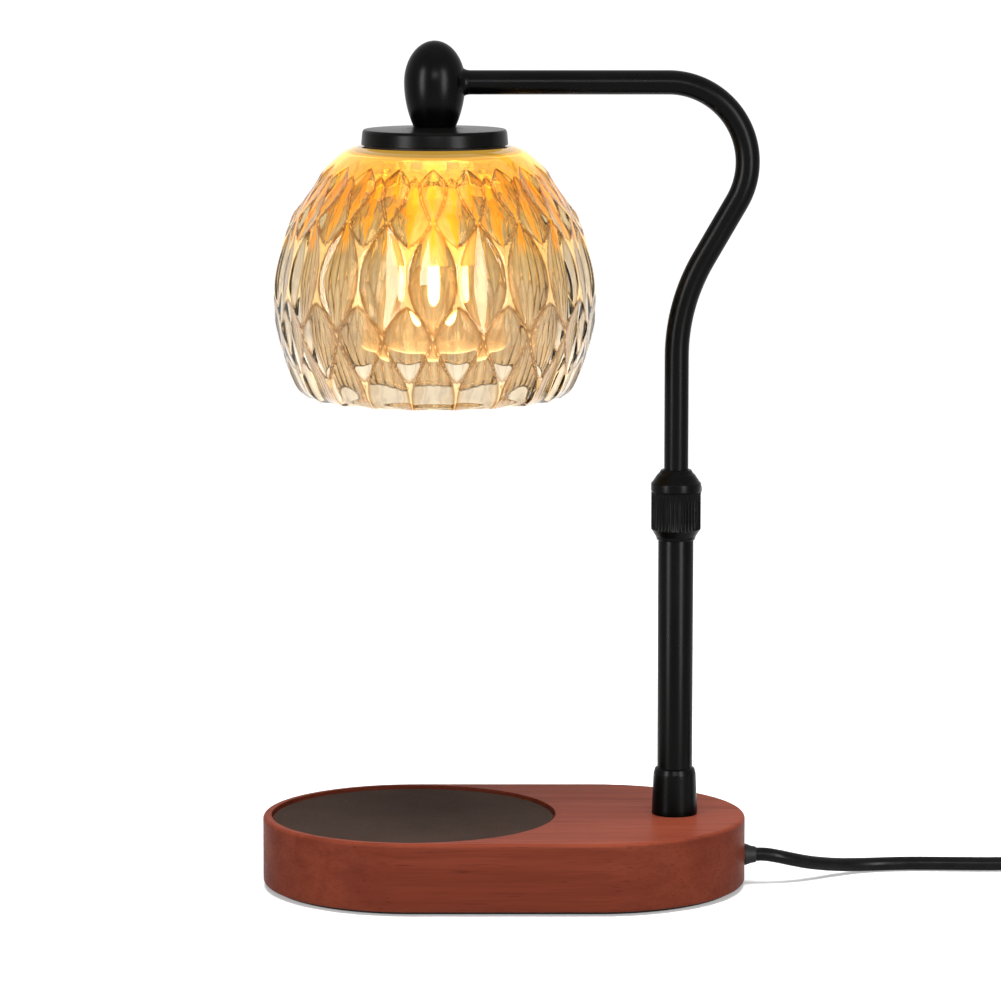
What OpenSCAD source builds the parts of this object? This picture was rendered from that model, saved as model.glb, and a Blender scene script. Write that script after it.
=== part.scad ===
// Candle warmer lamp: wooden base, telescopic post, swinging arm, cut glass shade with a spot bulb.
// Millimetres, +X to the post end of the base, +Z up, origin under the middle of the base.

/* [Base] */
// Length of the wooden base
base_l = 165; // [160:1:185]
// Width of the wooden base, which is also the diameter of its round ends
base_w = 103; // [101:1:108]
// Height of the wooden base over its foot pad
base_h = 23.4; // [22:0.2:30]
// Radius of the top edge
top_edge_r = 2.2; // [1:0.1:2.4]
// Radius of the bottom edge
foot_edge_r = 1.6; // [0.8:0.1:2.4]
// Diameter of the round recess for the candle
recess_d = 97.2; // [84:0.2:98]
// Depth of the round recess
recess_depth = 2; // [1.5:0.1:3]
// Thickness of the dark pad in the recess
candle_pad_t = 0.8; // [0.5:0.1:1.4]
// Thickness of the foam pad under the base
foot_pad_t = 1; // [0.6:0.1:2]
// How far the foam pad stays back from the edge
foot_pad_inset = 3; // [2:0.5:5]
// Thickness of the cover plate under the base
cover_t = 2; // [1.6:0.1:2.6]
// Clear height of the pocket over the cover plate
pocket_h = 10.4; // [10.2:0.1:11.4]
// Wood left outside the pocket
pocket_wall = 12.5; // [12:0.5:14]
// Ledge that the cover plate screws to
cover_ledge = 6; // [5.5:0.5:6.5]
// Wood between the stud's washer and the top of the base
stud_seat_t = 5; // [4:0.5:6]

/* [Ballast] */
// Length of the steel ballast plate
ballast_l = 98; // [80:1:104]
// Width of the ballast plate
ballast_w = 60; // [50:1:62]
// Thickness of the ballast plate
ballast_t = 7.6; // [5:0.2:8]

/* [Post] */
// Distance of the post from the end of the base
post_inset = 24.1; // [23.5:0.1:26]
// Outer diameter of the post
post_d = 12; // [11.8:0.1:12.6]
// Wall of the post tube
post_wall = 1; // [0.8:0.05:1]
// Height of the post's top over the base, inside the collar
post_l = 104.6; // [100:0.2:112]
// Length of the foot ferrule
ferrule_l = 16.2; // [12:0.2:20]
// Diameter of the ferrule at the base
ferrule_d = 15.5; // [15:0.1:17]
// Diameter of the ferrule at its top
ferrule_top_d = 14.6; // [14.2:0.1:14.9]
// Length of the threaded stud inside the post
stud_grip = 11.6; // [8:0.2:12]
// Bore of the hollow studs
stud_bore = 7.4; // [6.8:0.1:7.4]

/* [Collar] */
// Diameter of the locking collar
collar_d = 17; // [16.6:0.1:19]
// Length of the knurled part
knurl_l = 16.2; // [15:0.2:18]
// Ribs round the knurled part
knurl_count = 44; // [36:1:60]
// Depth of the knurl
knurl_depth = 0.28; // [0.1:0.02:0.34]
// Length of the cone under the knurl
collar_foot_l = 3.6; // [3:0.2:5]
// Length of the cone over the knurl
collar_head_l = 4.2; // [3:0.2:6]
// Length of the post inside the collar
collar_grip = 9.8; // [8:0.2:11]
// Wall of the bush that guides the arm
bush_wall = 1.15; // [1:0.05:1.25]
// Diameter of the thumbscrew's thread
screw_d = 4; // [3:0.5:4]
// Diameter of the thumbscrew's head
screw_head_d = 8; // [7:0.1:9]
// Length of the thumbscrew's head
screw_head_l = 8; // [6:0.2:10]
// Direction of the thumbscrew, counted from +X
screw_angle = 70; // [55:1:90]

/* [Arm] */
// Distance between the post and the shade's axis
arm_reach = 81.7; // [78:0.1:86]
// Height of the arm's level run
arm_h = 274.2; // [270:0.2:284]
// Diameter of the arm tube
arm_d = 8.2; // [7.8:0.1:8.4]
// Wall of the arm tube
arm_wall = 0.8; // [0.6:0.05:1]
// Radius of the lower bend
lean_r = 66; // [60:1:72]
// Angle that the arm leans out
lean_angle = 30; // [24:1:34]
// Length of the leaning straight
lean_run = 22.2; // [18:0.2:26]
// Radius of the upper bend
crook_r = 26.8; // [24:0.2:30]
// Height of the tube's lower end
arm_foot_z = 66.6; // [66.6:0.2:72]
// Length of the bush that slides in the post
slide_bush_l = 8; // [6:0.2:10]
// Length of each ring that holds the bush
bush_ring_l = 1.2; // [0.8:0.1:1.6]

/* [Finial] */
// Largest radius of the egg
egg_r = 10.3; // [10:0.1:11.5]
// Height of the egg over its widest place
egg_top = 14; // [13:0.2:17]
// Depth of the egg under its widest place
egg_foot = 14.8; // [14:0.1:15.2]
// Radius of the egg's foot
egg_foot_r = 7.1; // [6.8:0.1:8]

/* [Shade] */
// Diameter of the metal cap
cap_d = 49.4; // [46:0.2:52]
// Height of the cap's rim
cap_rim = 5.2; // [4:0.2:6]
// Rise of the boss in the middle of the cap
cap_rise = 0.9; // [0.6:0.1:1.2]
// Thickness of the cap's sheet
cap_sheet = 1.2; // [0.8:0.1:1.6]
// Largest diameter of the glass
glass_d = 109.2; // [106:0.2:114]
// Height of the glass
glass_h = 84.3; // [80:0.2:90]
// Wall of the glass
glass_wall = 3.2; // [2.8:0.1:3.6]
// Hole in the top of the glass
glass_hole_d = 30; // [28:0.5:32]
// Cuts round the glass
cut_count = 20; // [16:1:24]
// Depth of the cuts
cut_depth = 1.7; // [0.8:0.1:2]
// Thickness of the seal between the cap and the glass
seal_t = 0.5; // [0.4:0.1:1]

/* [Bulb] */
// Diameter of the reflector bulb
bulb_d = 50; // [48:0.5:51]
// Length of the bulb without its pins
bulb_l = 44.5; // [43:0.5:48]
// Distance between the bulb's pins
pin_pitch = 10; // [9.6:0.1:10.4]
// Diameter of a pin's head
pin_head_d = 4.6; // [4.2:0.1:4.8]
// Turn that locks the bulb in its holder
bulb_turn = 20; // [15:1:24]
// Height of the lampholder
holder_h = 12; // [11:0.5:13]

/* [Cord and switch] */
// Diameter of the cord
cord_d = 4.7; // [4.4:0.1:4.8]
// Height of the cord's exit
cord_exit_z = 10; // [9.6:0.1:10.1]
// Length of the dimmer's body
switch_l = 52; // [50:1:54]
// Width of the dimmer's body
switch_w = 28; // [26:1:32]
// Height of the dimmer's body
switch_h = 17; // [16:0.5:20]
// Diameter of the dimmer's knob
knob_d = 21; // [16:0.5:24]
// Width of the plug's body
plug_w = 24; // [22:0.5:28]
// Thickness of the plug's body
plug_t = 13; // [12.6:0.2:14]

/* [Hidden] */
$fn = 64;

// Running clearance of pieces that slide or turn in each other, on the radius
fit = 0.05;
// Clearance of pieces that only pass each other, on the radius
pass = 0.2;
// Extra length of a cutter past the face that it cuts
over = 1;

// Base levels and places
base_r = base_w / 2;
end_x = (base_l - base_w) / 2;
cover_z = foot_pad_t;
pocket_z = cover_z + cover_t;
pocket_top = pocket_z + pocket_h;
base_top = foot_pad_t + base_h;
pocket_r = base_r - pocket_wall;
cover_r = pocket_r + cover_ledge;
recess_floor = base_top - recess_depth;
candle_pad_gap = 0.6;
post_x = base_l / 2 - post_inset;
cover_screw_r = pocket_r + cover_ledge / 2;
cover_screw_d = 3;
cover_screw_l = 9.6;
cover_head_d = 5.8;
cover_head_t = 1.4;
ballast_screw_l = 13.1;
ballast_x = -8;
ballast_screw_d = 4;
ballast_head_d = 7;
ballast_head_t = 2;
ballast_screw_inset = 9;
ballast_corner = 10;
ballast_z = pocket_top - ballast_t;

// Hollow studs with nuts and washers
post_bore_r = post_d / 2 - post_wall;
stud_r = post_bore_r - fit;
stud_top = base_top + stud_grip;
washer_t = 1.5;
nut_t = 4;
nut_flats = 14;
washer_top = base_top - stud_seat_t;
nut_top = washer_top - washer_t;
stud_foot = nut_top - nut_t - 0.5;
nut_well_r = 9;

// Cord sleeve, clamp and the lead inside the base
lead_d = 3;
lead_bend = 4.5;
lead_end_gap = 0.6;
sleeve_out = 4;
sleeve_in_x = post_x + lead_bend;
sleeve_root_d = 7.5;
sleeve_tip_d = 5.4;
sleeve_in_d = 6.5;
clamp_t = 4;
clamp_w = 21;
clamp_x = sleeve_in_x + 0.6;
clamp_foot = 5.2;
clamp_screw_y = 8;
clamp_screw_d = 2.9;
clamp_head_d = 5;
clamp_head_t = 1.6;
clamp_screw_bite = 4.5;

// Post and collar levels
post_top = base_top + post_l;
collar_z = post_top - collar_grip;
knurl_z = collar_z + collar_foot_l;
knurl_top = knurl_z + knurl_l;
collar_top = knurl_top + collar_head_l;
collar_r = collar_d / 2;
plain_l = 3.2;
collar_foot_r = post_d / 2 + 0.4;
collar_head_r = arm_d / 2 + 0.6;
bush_r = arm_d / 2 + fit + bush_wall;
bush_top = knurl_top + collar_head_l / 2;
screw_z = post_top + 5.5;
tip_r = screw_d / 2 - 0.6;
tip_l = 1.4;
tip_gap = 0.15;
screw_foot = arm_d / 2 + tip_gap + tip_l;
screw_neck = collar_r + 0.9;
screw_relief_r = 2.8;
screw_cone_l = 0.8;
screw_end_l = 0.6;
screw_ribs = 22;
screw_rib_depth = 0.3;

// Arm path in the XZ plane: foot, lean centre, lean end, crook centre, shade axis
shade_x = post_x - arm_reach;
lean_x = lean_r * (1 - cos(lean_angle));
lean_z = lean_r * sin(lean_angle);
run_x = lean_run * sin(lean_angle);
run_z = lean_run * cos(lean_angle);
bend_z = arm_h - (lean_z + run_z + crook_r * (1 + sin(lean_angle)));
lean_end = [post_x + lean_x, 0, bend_z + lean_z];
crook_start = lean_end + [run_x, 0, run_z];
crook_centre = crook_start + [-crook_r * cos(lean_angle), 0, crook_r * sin(lean_angle)];
arm_bore = arm_d - 2 * arm_wall;
ARM_SIDES = 24;
// How far the bent part of the tube stays inside the straight part's faces
seam = 0.02;
arm_end_x = shade_x + stud_bore / 2 + 1.4;
ring_z = [arm_foot_z, arm_foot_z + bush_ring_l + slide_bush_l + 2 * pass];
slide_bush_z = arm_foot_z + bush_ring_l + pass;
ring_wall = 0.45;

// Finial, cap and glass levels
finial_foot = arm_h - egg_foot;
cap_foot = finial_foot - cap_rise - cap_rim;
cap_boss_r = 9;
// Radius of the hollow under the cap, inside the ring that rests on the glass
cap_hollow_r = cap_d / 2 - cap_sheet - 6;
egg_side_r = (pow(egg_foot, 2) + pow(egg_r - egg_foot_r, 2)) / (2 * (egg_r - egg_foot_r));
glass_top = cap_foot - seal_t;
glass_foot = glass_top - glass_h;
glass_r = glass_d / 2;
glass_under = glass_top - glass_wall;
plate_t = 1.2;
plate_r = 20;
bracket_t = 1.2;
cap_nut_t = 3.5;
bracket_h = 7.1;
plate_z = glass_under - plate_t;
bracket_z = plate_z - bracket_t;
cap_nut_z = bracket_z - cap_nut_t;
bracket_foot = bracket_z + bracket_t - bracket_h;
bracket_w = 14;
bracket_l = 42;
bracket_span = 26;
cap_stud_top = arm_h - arm_d / 2 - 0.4;
cap_stud_foot = cap_nut_z - 0.4;
egg_bore_top = arm_h + 4;

// Lampholder and bulb levels
holder_r = 12.5;
holder_top = bracket_foot;
holder_foot = holder_top - holder_h;
holder_screw_x = bracket_l / 2 - 4.7;
holder_screw_d = 3;
holder_screw_head_d = 5;
holder_screw_head_t = 1.4;
lug_w = 9;
lug_t = 5;
bulb_gap = 0.3;
bulb_top = holder_foot - bulb_gap;
bulb_face = bulb_top - bulb_l;
bulb_r = bulb_d / 2;
bulb_neck_r = 11;
bulb_neck_h = 15;
bulb_rim_h = 4;
bowl_h = bulb_l - bulb_neck_h - bulb_rim_h;
bulb_glass = 1.2;
lens_t = 1.4;
base_taper_h = 6;
capsule_r = 4.5;
capsule_l = 15;
pin_head_h = 2.2;
pin_neck_d = 2.6;
pin_l = 6;

// Outline of the glass from its shoulder to its rim: share of the radius, share of the depth
GLASS_LINE = [
    [0.486, 0], [0.575, 0.027], [0.72, 0.118], [0.872, 0.262], [0.975, 0.455],
    [1, 0.59], [0.976, 0.768], [0.91, 0.892], [0.856, 0.965], [0.79, 1]
];
// Rows of lens cuts: turned by this share of a cut, share of the depth at the middle, half height
CUT_ROWS = [
    [0, 0.165, 0.105], [0.5, 0.227, 0.136], [0, 0.48, 0.224], [0.5, 0.735, 0.16], [0, 0.985, 0.28]
];
GLASS_COLUMNS = 4 * cut_count;
GLASS_ROWS = 27;
GLASS_INNER_ROWS = 9;
// The wall is this much thicker at the shoulder, and the rim's inner edge is this much higher
shoulder_extra = 0.6;
rim_slope = 0.8;

// Routes of the free cord, chosen by hand
cord_z = 2.35;
LAMP_ROUTE = [
    [86.5, 0, 10], [89.5, 0, 10], [94, 0.5, 9.2], [99.5, 2.6, 7.6], [105.5, 6.2, 5.8], [111.5, 10.6, 4.3],
    [117.5, 14.6, 3.2], [123.5, 17.6, 2.6], [129.5, 19.4, 2.35], [136, 20.3, 2.35], [142.5, 20.7, 2.35],
    [152, 20.5, 2.35], [162, 20.1, 2.35], [171, 20, 2.35], [175, 20, 2.65], [178.5, 20, 3.4],
    [182, 20, 4.68], [185.5, 20, 5.95], [189, 20, 6.7], [193, 20, 7], [196, 20, 7]
];
LINK_ROUTE = [
    [274, 20, 7], [277, 20, 7], [280.4, 20.4, 6.7], [284.8, 21.9, 5.7], [289, 24.5, 4.5], [292.9, 28, 3.4],
    [296.3, 32.3, 2.65], [299.1, 37.2, 2.35], [301, 42.6, 2.35], [302.1, 48.6, 2.35], [302.2, 53.2, 2.35],
    [302.2, 57.6, 2.35], [302.2, 62, 2.35]
];
TAIL_ROUTE = [
    [302.2, 72, 17.95], [302.2, 75, 18.05], [302.2, 78, 18.3], [302.1, 81.5, 18.75], [301.6, 85.4, 19.4],
    [299.9, 89.6, 20.1], [297.2, 93.1, 20.9], [293.7, 95.8, 21.8], [289.5, 97.5, 22.75],
    [285.1, 98.1, 23.65],
    [280.7, 97.5, 24.5], [276.6, 95.8, 25.3], [273, 93.1, 26], [270.3, 89.6, 26.5], [268.6, 85.4, 26.8],
    [268, 81.5, 26.8], [268, 79.2, 26.8], [268, 77, 26.8]
];

// Coil of the cord that is put away
coil_x = 271;
coil_y = 67;
coil_r = 31.2;
coil_pitch = 5.2;
COIL_LAYERS = 4;
TURNS_PER_LAYER = 2;
LOOP_RINGS = 24;
COIL_SIDES = 6;
CORD_SIDES = 8;
coil_lead = 5;

// Dimmer and plug places; the plug lies on the coil
switch_x = 235;
switch_y = 20;
switch_cord_z = 7;
switch_split = 7.5;
switch_wall = 2;
switch_sleeve_in = 7;
switch_sleeve_out = 13;
switch_round = 6;
switch_foot_step = 1;
switch_top_step = 1.5;
case_screw_d = 2.9;
case_screw_z = 1.2;
board_l = 36;
board_t = 1.6;
board_room_l = 40;
board_room_w = 16;
board_well_w = 14;
pot_r = 7;
pot_h = 4.4;
pot_top = switch_split + board_t + pot_h;
shaft_d = 6;
knob_h = 5;
knob_gap = 0.4;
knob_ribs = 30;
switch_screw_x = 18;
switch_screw_in = 3.8;
plug_x = 268;
plug_y = 77;
plug_z = 26.8;
plug_sleeve_l = 20;
plug_sleeve_d = 9;
plug_l = 26;
plug_grip_l = 10;
plug_waist_w = 14;
plug_round = 5;
blade_l = 17;
blade_w = 6.3;
blade_t = 1.5;
blade_pitch = 12.7;
blade_hole_d = 3;

// ---------------------------------------------------------------- helpers

// Half outline of a block with a round top edge and a round foot edge
module rim_profile(r, h, top_r, foot_r) {
    square([r - foot_r, h / 2]);
    translate([0, h / 2]) square([r - top_r, h / 2]);
    translate([0, foot_r]) square([r, h - top_r - foot_r]);
    translate([r - top_r, h - top_r]) circle(top_r);
    translate([r - foot_r, foot_r]) circle(foot_r);
}

// The base's outline as a block: two half rounds and a straight middle
module rounded_stadium(r, h, top_r, foot_r) {
    for (side = [-1, 1])
        translate([side * end_x, 0, 0])
            rotate([0, 0, -90 * side])
                rotate_extrude(angle = 180) rim_profile(r, h, top_r, foot_r);
    translate([-end_x, 0, 0])
        rotate([90, 0, 90])
            linear_extrude(2 * end_x) {
                rim_profile(r, h, top_r, foot_r);
                mirror([1, 0]) rim_profile(r, h, top_r, foot_r);
            }
}

// Flat outline with two round ends about the base's end centres
module stadium(r) {
    translate([-end_x, -r]) square([2 * end_x, 2 * r]);
    for (side = [-1, 1]) translate([side * end_x, 0]) circle(r);
}

// Rectangle with round corners, centred
module rounded_rect(l, w, r) {
    square([l - 2 * r, w], center = true);
    square([l, w - 2 * r], center = true);
    for (x = [-1, 1], y = [-1, 1]) translate([x * (l / 2 - r), y * (w / 2 - r)]) circle(r);
}

// Upright tube from its foot
module tube(r, bore_r, h) {
    difference() {
        cylinder(h = h, r = r);
        translate([0, 0, -over]) cylinder(h = h + 2 * over, r = bore_r);
    }
}

// Pan-head screw, head down at z = 0, shank up
module pan_screw(d, l, head_d, head_t) {
    cylinder(h = head_t, d = head_d);
    translate([0, 0, head_t / 2]) cylinder(h = l + head_t / 2, d = d);
}

// Hexagon nut on a stud
module hex_nut(flats, bore_r, h) {
    difference() {
        cylinder(h = h, d = flats / cos(30), $fn = 6);
        translate([0, 0, -over]) cylinder(h = h + 2 * over, r = bore_r);
    }
}

// Round bar with ribs along it
module knurled(r, depth, count, h) {
    linear_extrude(h)
        polygon([
            for (i = [0:2 * count - 1])
                let (a = 180 * i / count, q = r - depth * (i % 2)) [q * cos(a), q * sin(a)]
        ]);
}

// Points on an arc in the XZ plane, from angle a0 to a1 counted from +X to +Z
function arc(centre, r, a0, a1, steps) =
    [for (i = [0:steps]) let (a = a0 + (a1 - a0) * i / steps) centre + r * [cos(a), 0, sin(a)]];
// The arm's centre line from z = foot to x = tip
function arm_line(foot, tip) = concat(
    [[post_x, 0, foot]],
    arc([post_x + lean_r, 0, bend_z], lean_r, 180, 180 - lean_angle, 5),
    arc(crook_centre, crook_r, -lean_angle, 90, 15),
    [[tip, 0, arm_h]]
);

function unit(v) = v / norm(v);
// Direction of a route at point i, halfway between the stretches before and after it
function heading(route, i) =
    let (n = len(route) - 1, a = max(i, 1), b = min(i, n - 1))
    unit(unit(route[a] - route[a - 1]) + unit(route[b + 1] - route[b]));
// Corners of the ring at point i of a route; side is the level direction across it, where given
function ring(route, i, d, sides, turn, side) =
    let (
        t = heading(route, i), across = side == undef ? unit(cross(t, [0, 0, 1])) : side,
        up = cross(across, t)
    )
    [
        for (k = [0:sides - 1])
            let (a = turn + 360 * k / sides) route[i] + d / 2 * (across * cos(a) + up * sin(a))
    ];
// Triangles of the wall between rings, from ring number first on
function wall(rings, sides, first = 0) = [
    for (i = [first:first + rings - 2], k = [0:sides - 1])
        let (a = i * sides + k, b = i * sides + (k + 1) % sides)
        each [[a, b, b + sides], [a, b + sides, a + sides]]
];

// One unbroken solid tube along a route
module swept_tube(route, d, sides, turn = 0, side = undef) {
    rings = len(route);
    points = [for (i = [0:rings - 1]) each ring(route, i, d, sides, turn, side)];
    ends = [
        for (k = [1:sides - 2]) each [[0, k + 1, k], let (e = (rings - 1) * sides) [e, e + k, e + k + 1]]
    ];
    polyhedron(points, concat(wall(rings, sides), ends));
}

// Hollow tube along a route in the XZ plane
module swept_pipe(route, d, bore, sides) {
    rings = len(route);
    across = [0, 1, 0];
    points = [
        for (size = [d, bore / cos(180 / sides)], i = [0:rings - 1])
            each ring(route, i, size, sides, 0, across)
    ];
    last = (rings - 1) * sides;
    inner = rings * sides;
    rims = [
        for (k = [0:sides - 1]) let (m = (k + 1) % sides)
            each [
                [k, inner + k, inner + m], [k, inner + m, m],
                [last + k, last + m, last + inner + m], [last + k, last + inner + m, last + inner + k]
            ]
    ];
    bore_wall = [for (f = wall(rings, sides, rings)) [f[0], f[2], f[1]]];
    polyhedron(points, concat(wall(rings, sides), bore_wall, rims));
}

// Smooth curve through points, t counted in points
function curve(p, t) =
    let (
        n = len(p) - 1, i = min(floor(t), n - 1), f = t - i,
        a = p[max(i - 1, 0)], b = p[i], c = p[i + 1], d = p[min(i + 2, n)]
    )
    b + f / 2 * ((c - a) + f * ((2 * a - 5 * b + 4 * c - d) + f * (3 * (b - c) + d - a)));

// ---------------------------------------------------------------- base

module base_body() {
    color("#6d3527")
    difference() {
        translate([0, 0, cover_z]) rounded_stadium(base_r, base_h, top_edge_r, foot_edge_r);
        translate([-end_x, 0, recess_floor]) cylinder(h = recess_depth + over, d = recess_d);
        translate([0, 0, cover_z - over]) linear_extrude(cover_t + over) stadium(cover_r + pass);
        translate([0, 0, cover_z]) linear_extrude(pocket_top - cover_z) stadium(pocket_r);
        translate([post_x, 0, pocket_z]) cylinder(h = washer_top - pocket_z, r = nut_well_r);
        translate([post_x, 0, pocket_z]) cylinder(h = base_h + over, r = stud_r + pass);
        translate([pocket_r, 0, cord_exit_z])
            rotate([0, 90, 0]) cylinder(h = base_l / 2, d = sleeve_root_d + 2 * fit);
        at_cover_screws() translate([0, 0, pocket_z]) cylinder(h = cover_screw_l, d = cover_screw_d);
        at_ballast_screws()
            translate([0, 0, pocket_top - over])
                cylinder(h = ballast_screw_l - ballast_t + over, d = ballast_screw_d + 2 * fit);
        at_clamp_screws()
            translate([0, 0, pocket_top - over])
                cylinder(h = clamp_screw_bite + pass + over, d = clamp_screw_d);
    }
}

module candle_pad() {
    color("#43352f")
    translate([-end_x, 0, recess_floor]) cylinder(h = candle_pad_t, d = recess_d - 2 * candle_pad_gap);
}

module underside_pad() {
    color("#1c1c1c") linear_extrude(foot_pad_t) stadium(base_r - foot_pad_inset);
}

module at_cover_screws() {
    for (x = [-1, 1], y = [-1, 1])
        translate([x * (end_x + cover_screw_r * cos(45)), y * cover_screw_r * sin(45), 0]) children();
}

module cover_screw_head() {
    translate([0, 0, cover_z]) cylinder(h = cover_head_t, d1 = cover_head_d, d2 = cover_screw_d);
}

module bottom_cover() {
    color("#3a3a3a")
    difference() {
        translate([0, 0, cover_z]) linear_extrude(cover_t) stadium(cover_r);
        at_cover_screws() {
            translate([0, 0, cover_z - over]) cylinder(h = cover_t + 2 * over, d = cover_screw_d);
            cover_screw_head();
        }
    }
}

module cover_screws() {
    color("silver")
    at_cover_screws() {
        cover_screw_head();
        translate([0, 0, cover_z + cover_head_t / 2])
            cylinder(h = cover_screw_l - cover_head_t / 2, d = cover_screw_d);
    }
}

module at_ballast_screws() {
    for (x = [-1, 1], y = [-1, 1])
        translate([
            ballast_x + x * (ballast_l / 2 - ballast_screw_inset),
            y * (ballast_w / 2 - ballast_screw_inset),
            0
        ]) children();
}

module ballast_plate() {
    color("#8a8d90")
    difference() {
        translate([ballast_x, 0, ballast_z])
            linear_extrude(ballast_t) rounded_rect(ballast_l, ballast_w, ballast_corner);
        at_ballast_screws()
            translate([0, 0, ballast_z - over])
                cylinder(h = ballast_t + 2 * over, d = ballast_screw_d + 2 * pass);
    }
}

module ballast_screws() {
    color("silver")
    at_ballast_screws()
        translate([0, 0, ballast_z - ballast_head_t])
            pan_screw(ballast_screw_d, ballast_screw_l, ballast_head_d, ballast_head_t);
}

// ---------------------------------------------------------------- post

module post_stud() {
    color("#b9b9b9")
    translate([post_x, 0, stud_foot]) tube(stud_r, stud_bore / 2, stud_top - stud_foot);
}

module stud_washer() {
    color("silver") translate([post_x, 0, nut_top]) tube(nut_well_r - pass, stud_r + fit, washer_t);
}

module stud_nut() {
    color("silver") translate([post_x, 0, nut_top - nut_t]) hex_nut(nut_flats, stud_r + fit, nut_t);
}

module post_ferrule() {
    color("#1b1b1c")
    translate([post_x, 0, base_top])
        difference() {
            rotate_extrude()
                polygon([
                    [0, 0], [ferrule_d / 2, 0], [ferrule_d / 2, ferrule_l * 0.12],
                    [ferrule_top_d / 2, ferrule_l * 0.8], [ferrule_top_d / 2 - 0.35, ferrule_l * 0.94],
                    [ferrule_top_d / 2 - 0.9, ferrule_l], [0, ferrule_l]
                ]);
            translate([0, 0, -over]) cylinder(h = ferrule_l + 2 * over, r = post_d / 2 + fit);
        }
}

module post_tube() {
    color("#202021") translate([post_x, 0, base_top]) tube(post_d / 2, post_bore_r, post_l);
}

module screw_axis() {
    translate([post_x, 0, screw_z]) rotate([0, 0, screw_angle]) rotate([0, 90, 0]) children();
}

module height_collar() {
    color("#232324")
    difference() {
        union() {
            translate([post_x, 0, 0])
                rotate_extrude()
                    polygon([
                        [0, collar_z], [collar_foot_r, collar_z],
                        [collar_foot_r + 0.4, collar_z + collar_foot_l * 0.3],
                        [collar_r - knurl_depth - 0.25, knurl_z - 0.2],
                        [collar_r - knurl_depth - 0.15, knurl_z],
                        [collar_r - 1, knurl_z], [collar_r - 1, knurl_top - plain_l],
                        [collar_r, knurl_top - plain_l], [collar_r, knurl_top - 0.4],
                        [collar_r - 0.5, knurl_top], [collar_head_r + 1.5, collar_top - 1.7],
                        [collar_head_r + 1.1, collar_top - 1.2], [collar_head_r, collar_top],
                        [0, collar_top]
                    ]);
            translate([post_x, 0, knurl_z])
                knurled(collar_r - 0.06, knurl_depth, knurl_count, knurl_l - plain_l);
        }
        translate([post_x, 0, collar_z - over]) cylinder(h = collar_grip + over, r = post_d / 2 + fit);
        translate([post_x, 0, collar_z]) cylinder(h = bush_top - collar_z, r = bush_r);
        translate([post_x, 0, collar_z]) cylinder(h = collar_top - collar_z + over, r = arm_d / 2 + pass);
        screw_axis() cylinder(h = collar_d, r = screw_d / 2 + fit);
    }
}

module collar_bush() {
    color("#d9d6cc")
    difference() {
        translate([post_x, 0, post_top]) tube(bush_r, arm_d / 2 + fit, bush_top - post_top);
        screw_axis() cylinder(h = collar_d, r = screw_d / 2 + pass);
    }
}

module lock_tip() {
    color("#e8e4d8")
    screw_axis() translate([0, 0, arm_d / 2 + tip_gap]) cylinder(h = tip_l, r = tip_r);
}

module lock_screw() {
    color("#2a2a2b")
    screw_axis() {
        translate([0, 0, screw_foot]) cylinder(h = screw_neck - screw_foot, d = screw_d);
        translate([0, 0, screw_neck])
            cylinder(h = screw_cone_l, r1 = screw_relief_r, r2 = screw_head_d / 2 - screw_rib_depth);
        translate([0, 0, screw_neck + screw_cone_l])
            knurled(
                screw_head_d / 2, screw_rib_depth, screw_ribs, screw_head_l - screw_cone_l - screw_end_l
            );
        translate([0, 0, screw_neck + screw_head_l - screw_end_l])
            cylinder(h = screw_end_l, r1 = screw_head_d / 2 - 0.4, r2 = screw_head_d / 2 - 0.9);
    }
}

// ---------------------------------------------------------------- cord in the base

module cord_sleeve() {
    color("#161616")
    translate([sleeve_in_x, 0, cord_exit_z])
        rotate([0, 90, 0]) {
            cylinder(h = base_l / 2 - sleeve_in_x, d = sleeve_in_d);
            translate([0, 0, pocket_r + end_x - sleeve_in_x])
                cylinder(h = base_r - pocket_r, d = sleeve_root_d);
            translate([0, 0, base_l / 2 - sleeve_in_x])
                cylinder(h = sleeve_out, d1 = sleeve_root_d, d2 = sleeve_tip_d);
        }
}

module at_clamp_screws() {
    for (y = [-1, 1]) translate([clamp_x + clamp_t / 2, y * clamp_screw_y, 0]) children();
}

module cord_clamp() {
    color("#2c2c2c")
    difference() {
        translate([clamp_x, -clamp_w / 2, clamp_foot])
            cube([clamp_t, clamp_w, pocket_top - clamp_foot]);
        translate([clamp_x - over, 0, cord_exit_z])
            rotate([0, 90, 0]) cylinder(h = clamp_t + 2 * over, d = sleeve_in_d);
        translate([clamp_x - over, -sleeve_in_d / 2, cord_exit_z])
            cube([clamp_t + 2 * over, sleeve_in_d, pocket_h]);
        at_clamp_screws()
            translate([0, 0, clamp_foot - over]) cylinder(h = pocket_h + 2 * over, d = clamp_screw_d);
    }
}

module clamp_screws() {
    color("silver")
    at_clamp_screws()
        translate([0, 0, clamp_foot - clamp_head_t])
            pan_screw(clamp_screw_d, pocket_top - clamp_foot + clamp_screw_bite, clamp_head_d, clamp_head_t);
}

module base_lead() {
    color("#26221f") {
        translate([sleeve_in_x, 0, cord_exit_z + lead_bend])
            rotate([90, 0, 0]) rotate([0, 0, 180])
                rotate_extrude(angle = 90) translate([lead_bend, 0]) circle(d = lead_d);
        translate([post_x, 0, cord_exit_z + lead_bend])
            cylinder(h = stud_top - lead_end_gap - cord_exit_z - lead_bend, d = lead_d);
    }
}

// ---------------------------------------------------------------- cord outside, dimmer and plug

module lamp_cord() {
    color("#151515") swept_tube(LAMP_ROUTE, cord_d, CORD_SIDES, 22.5);
}

module link_cord() {
    color("#151515") swept_tube(LINK_ROUTE, cord_d, CORD_SIDES, 22.5);
}

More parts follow.
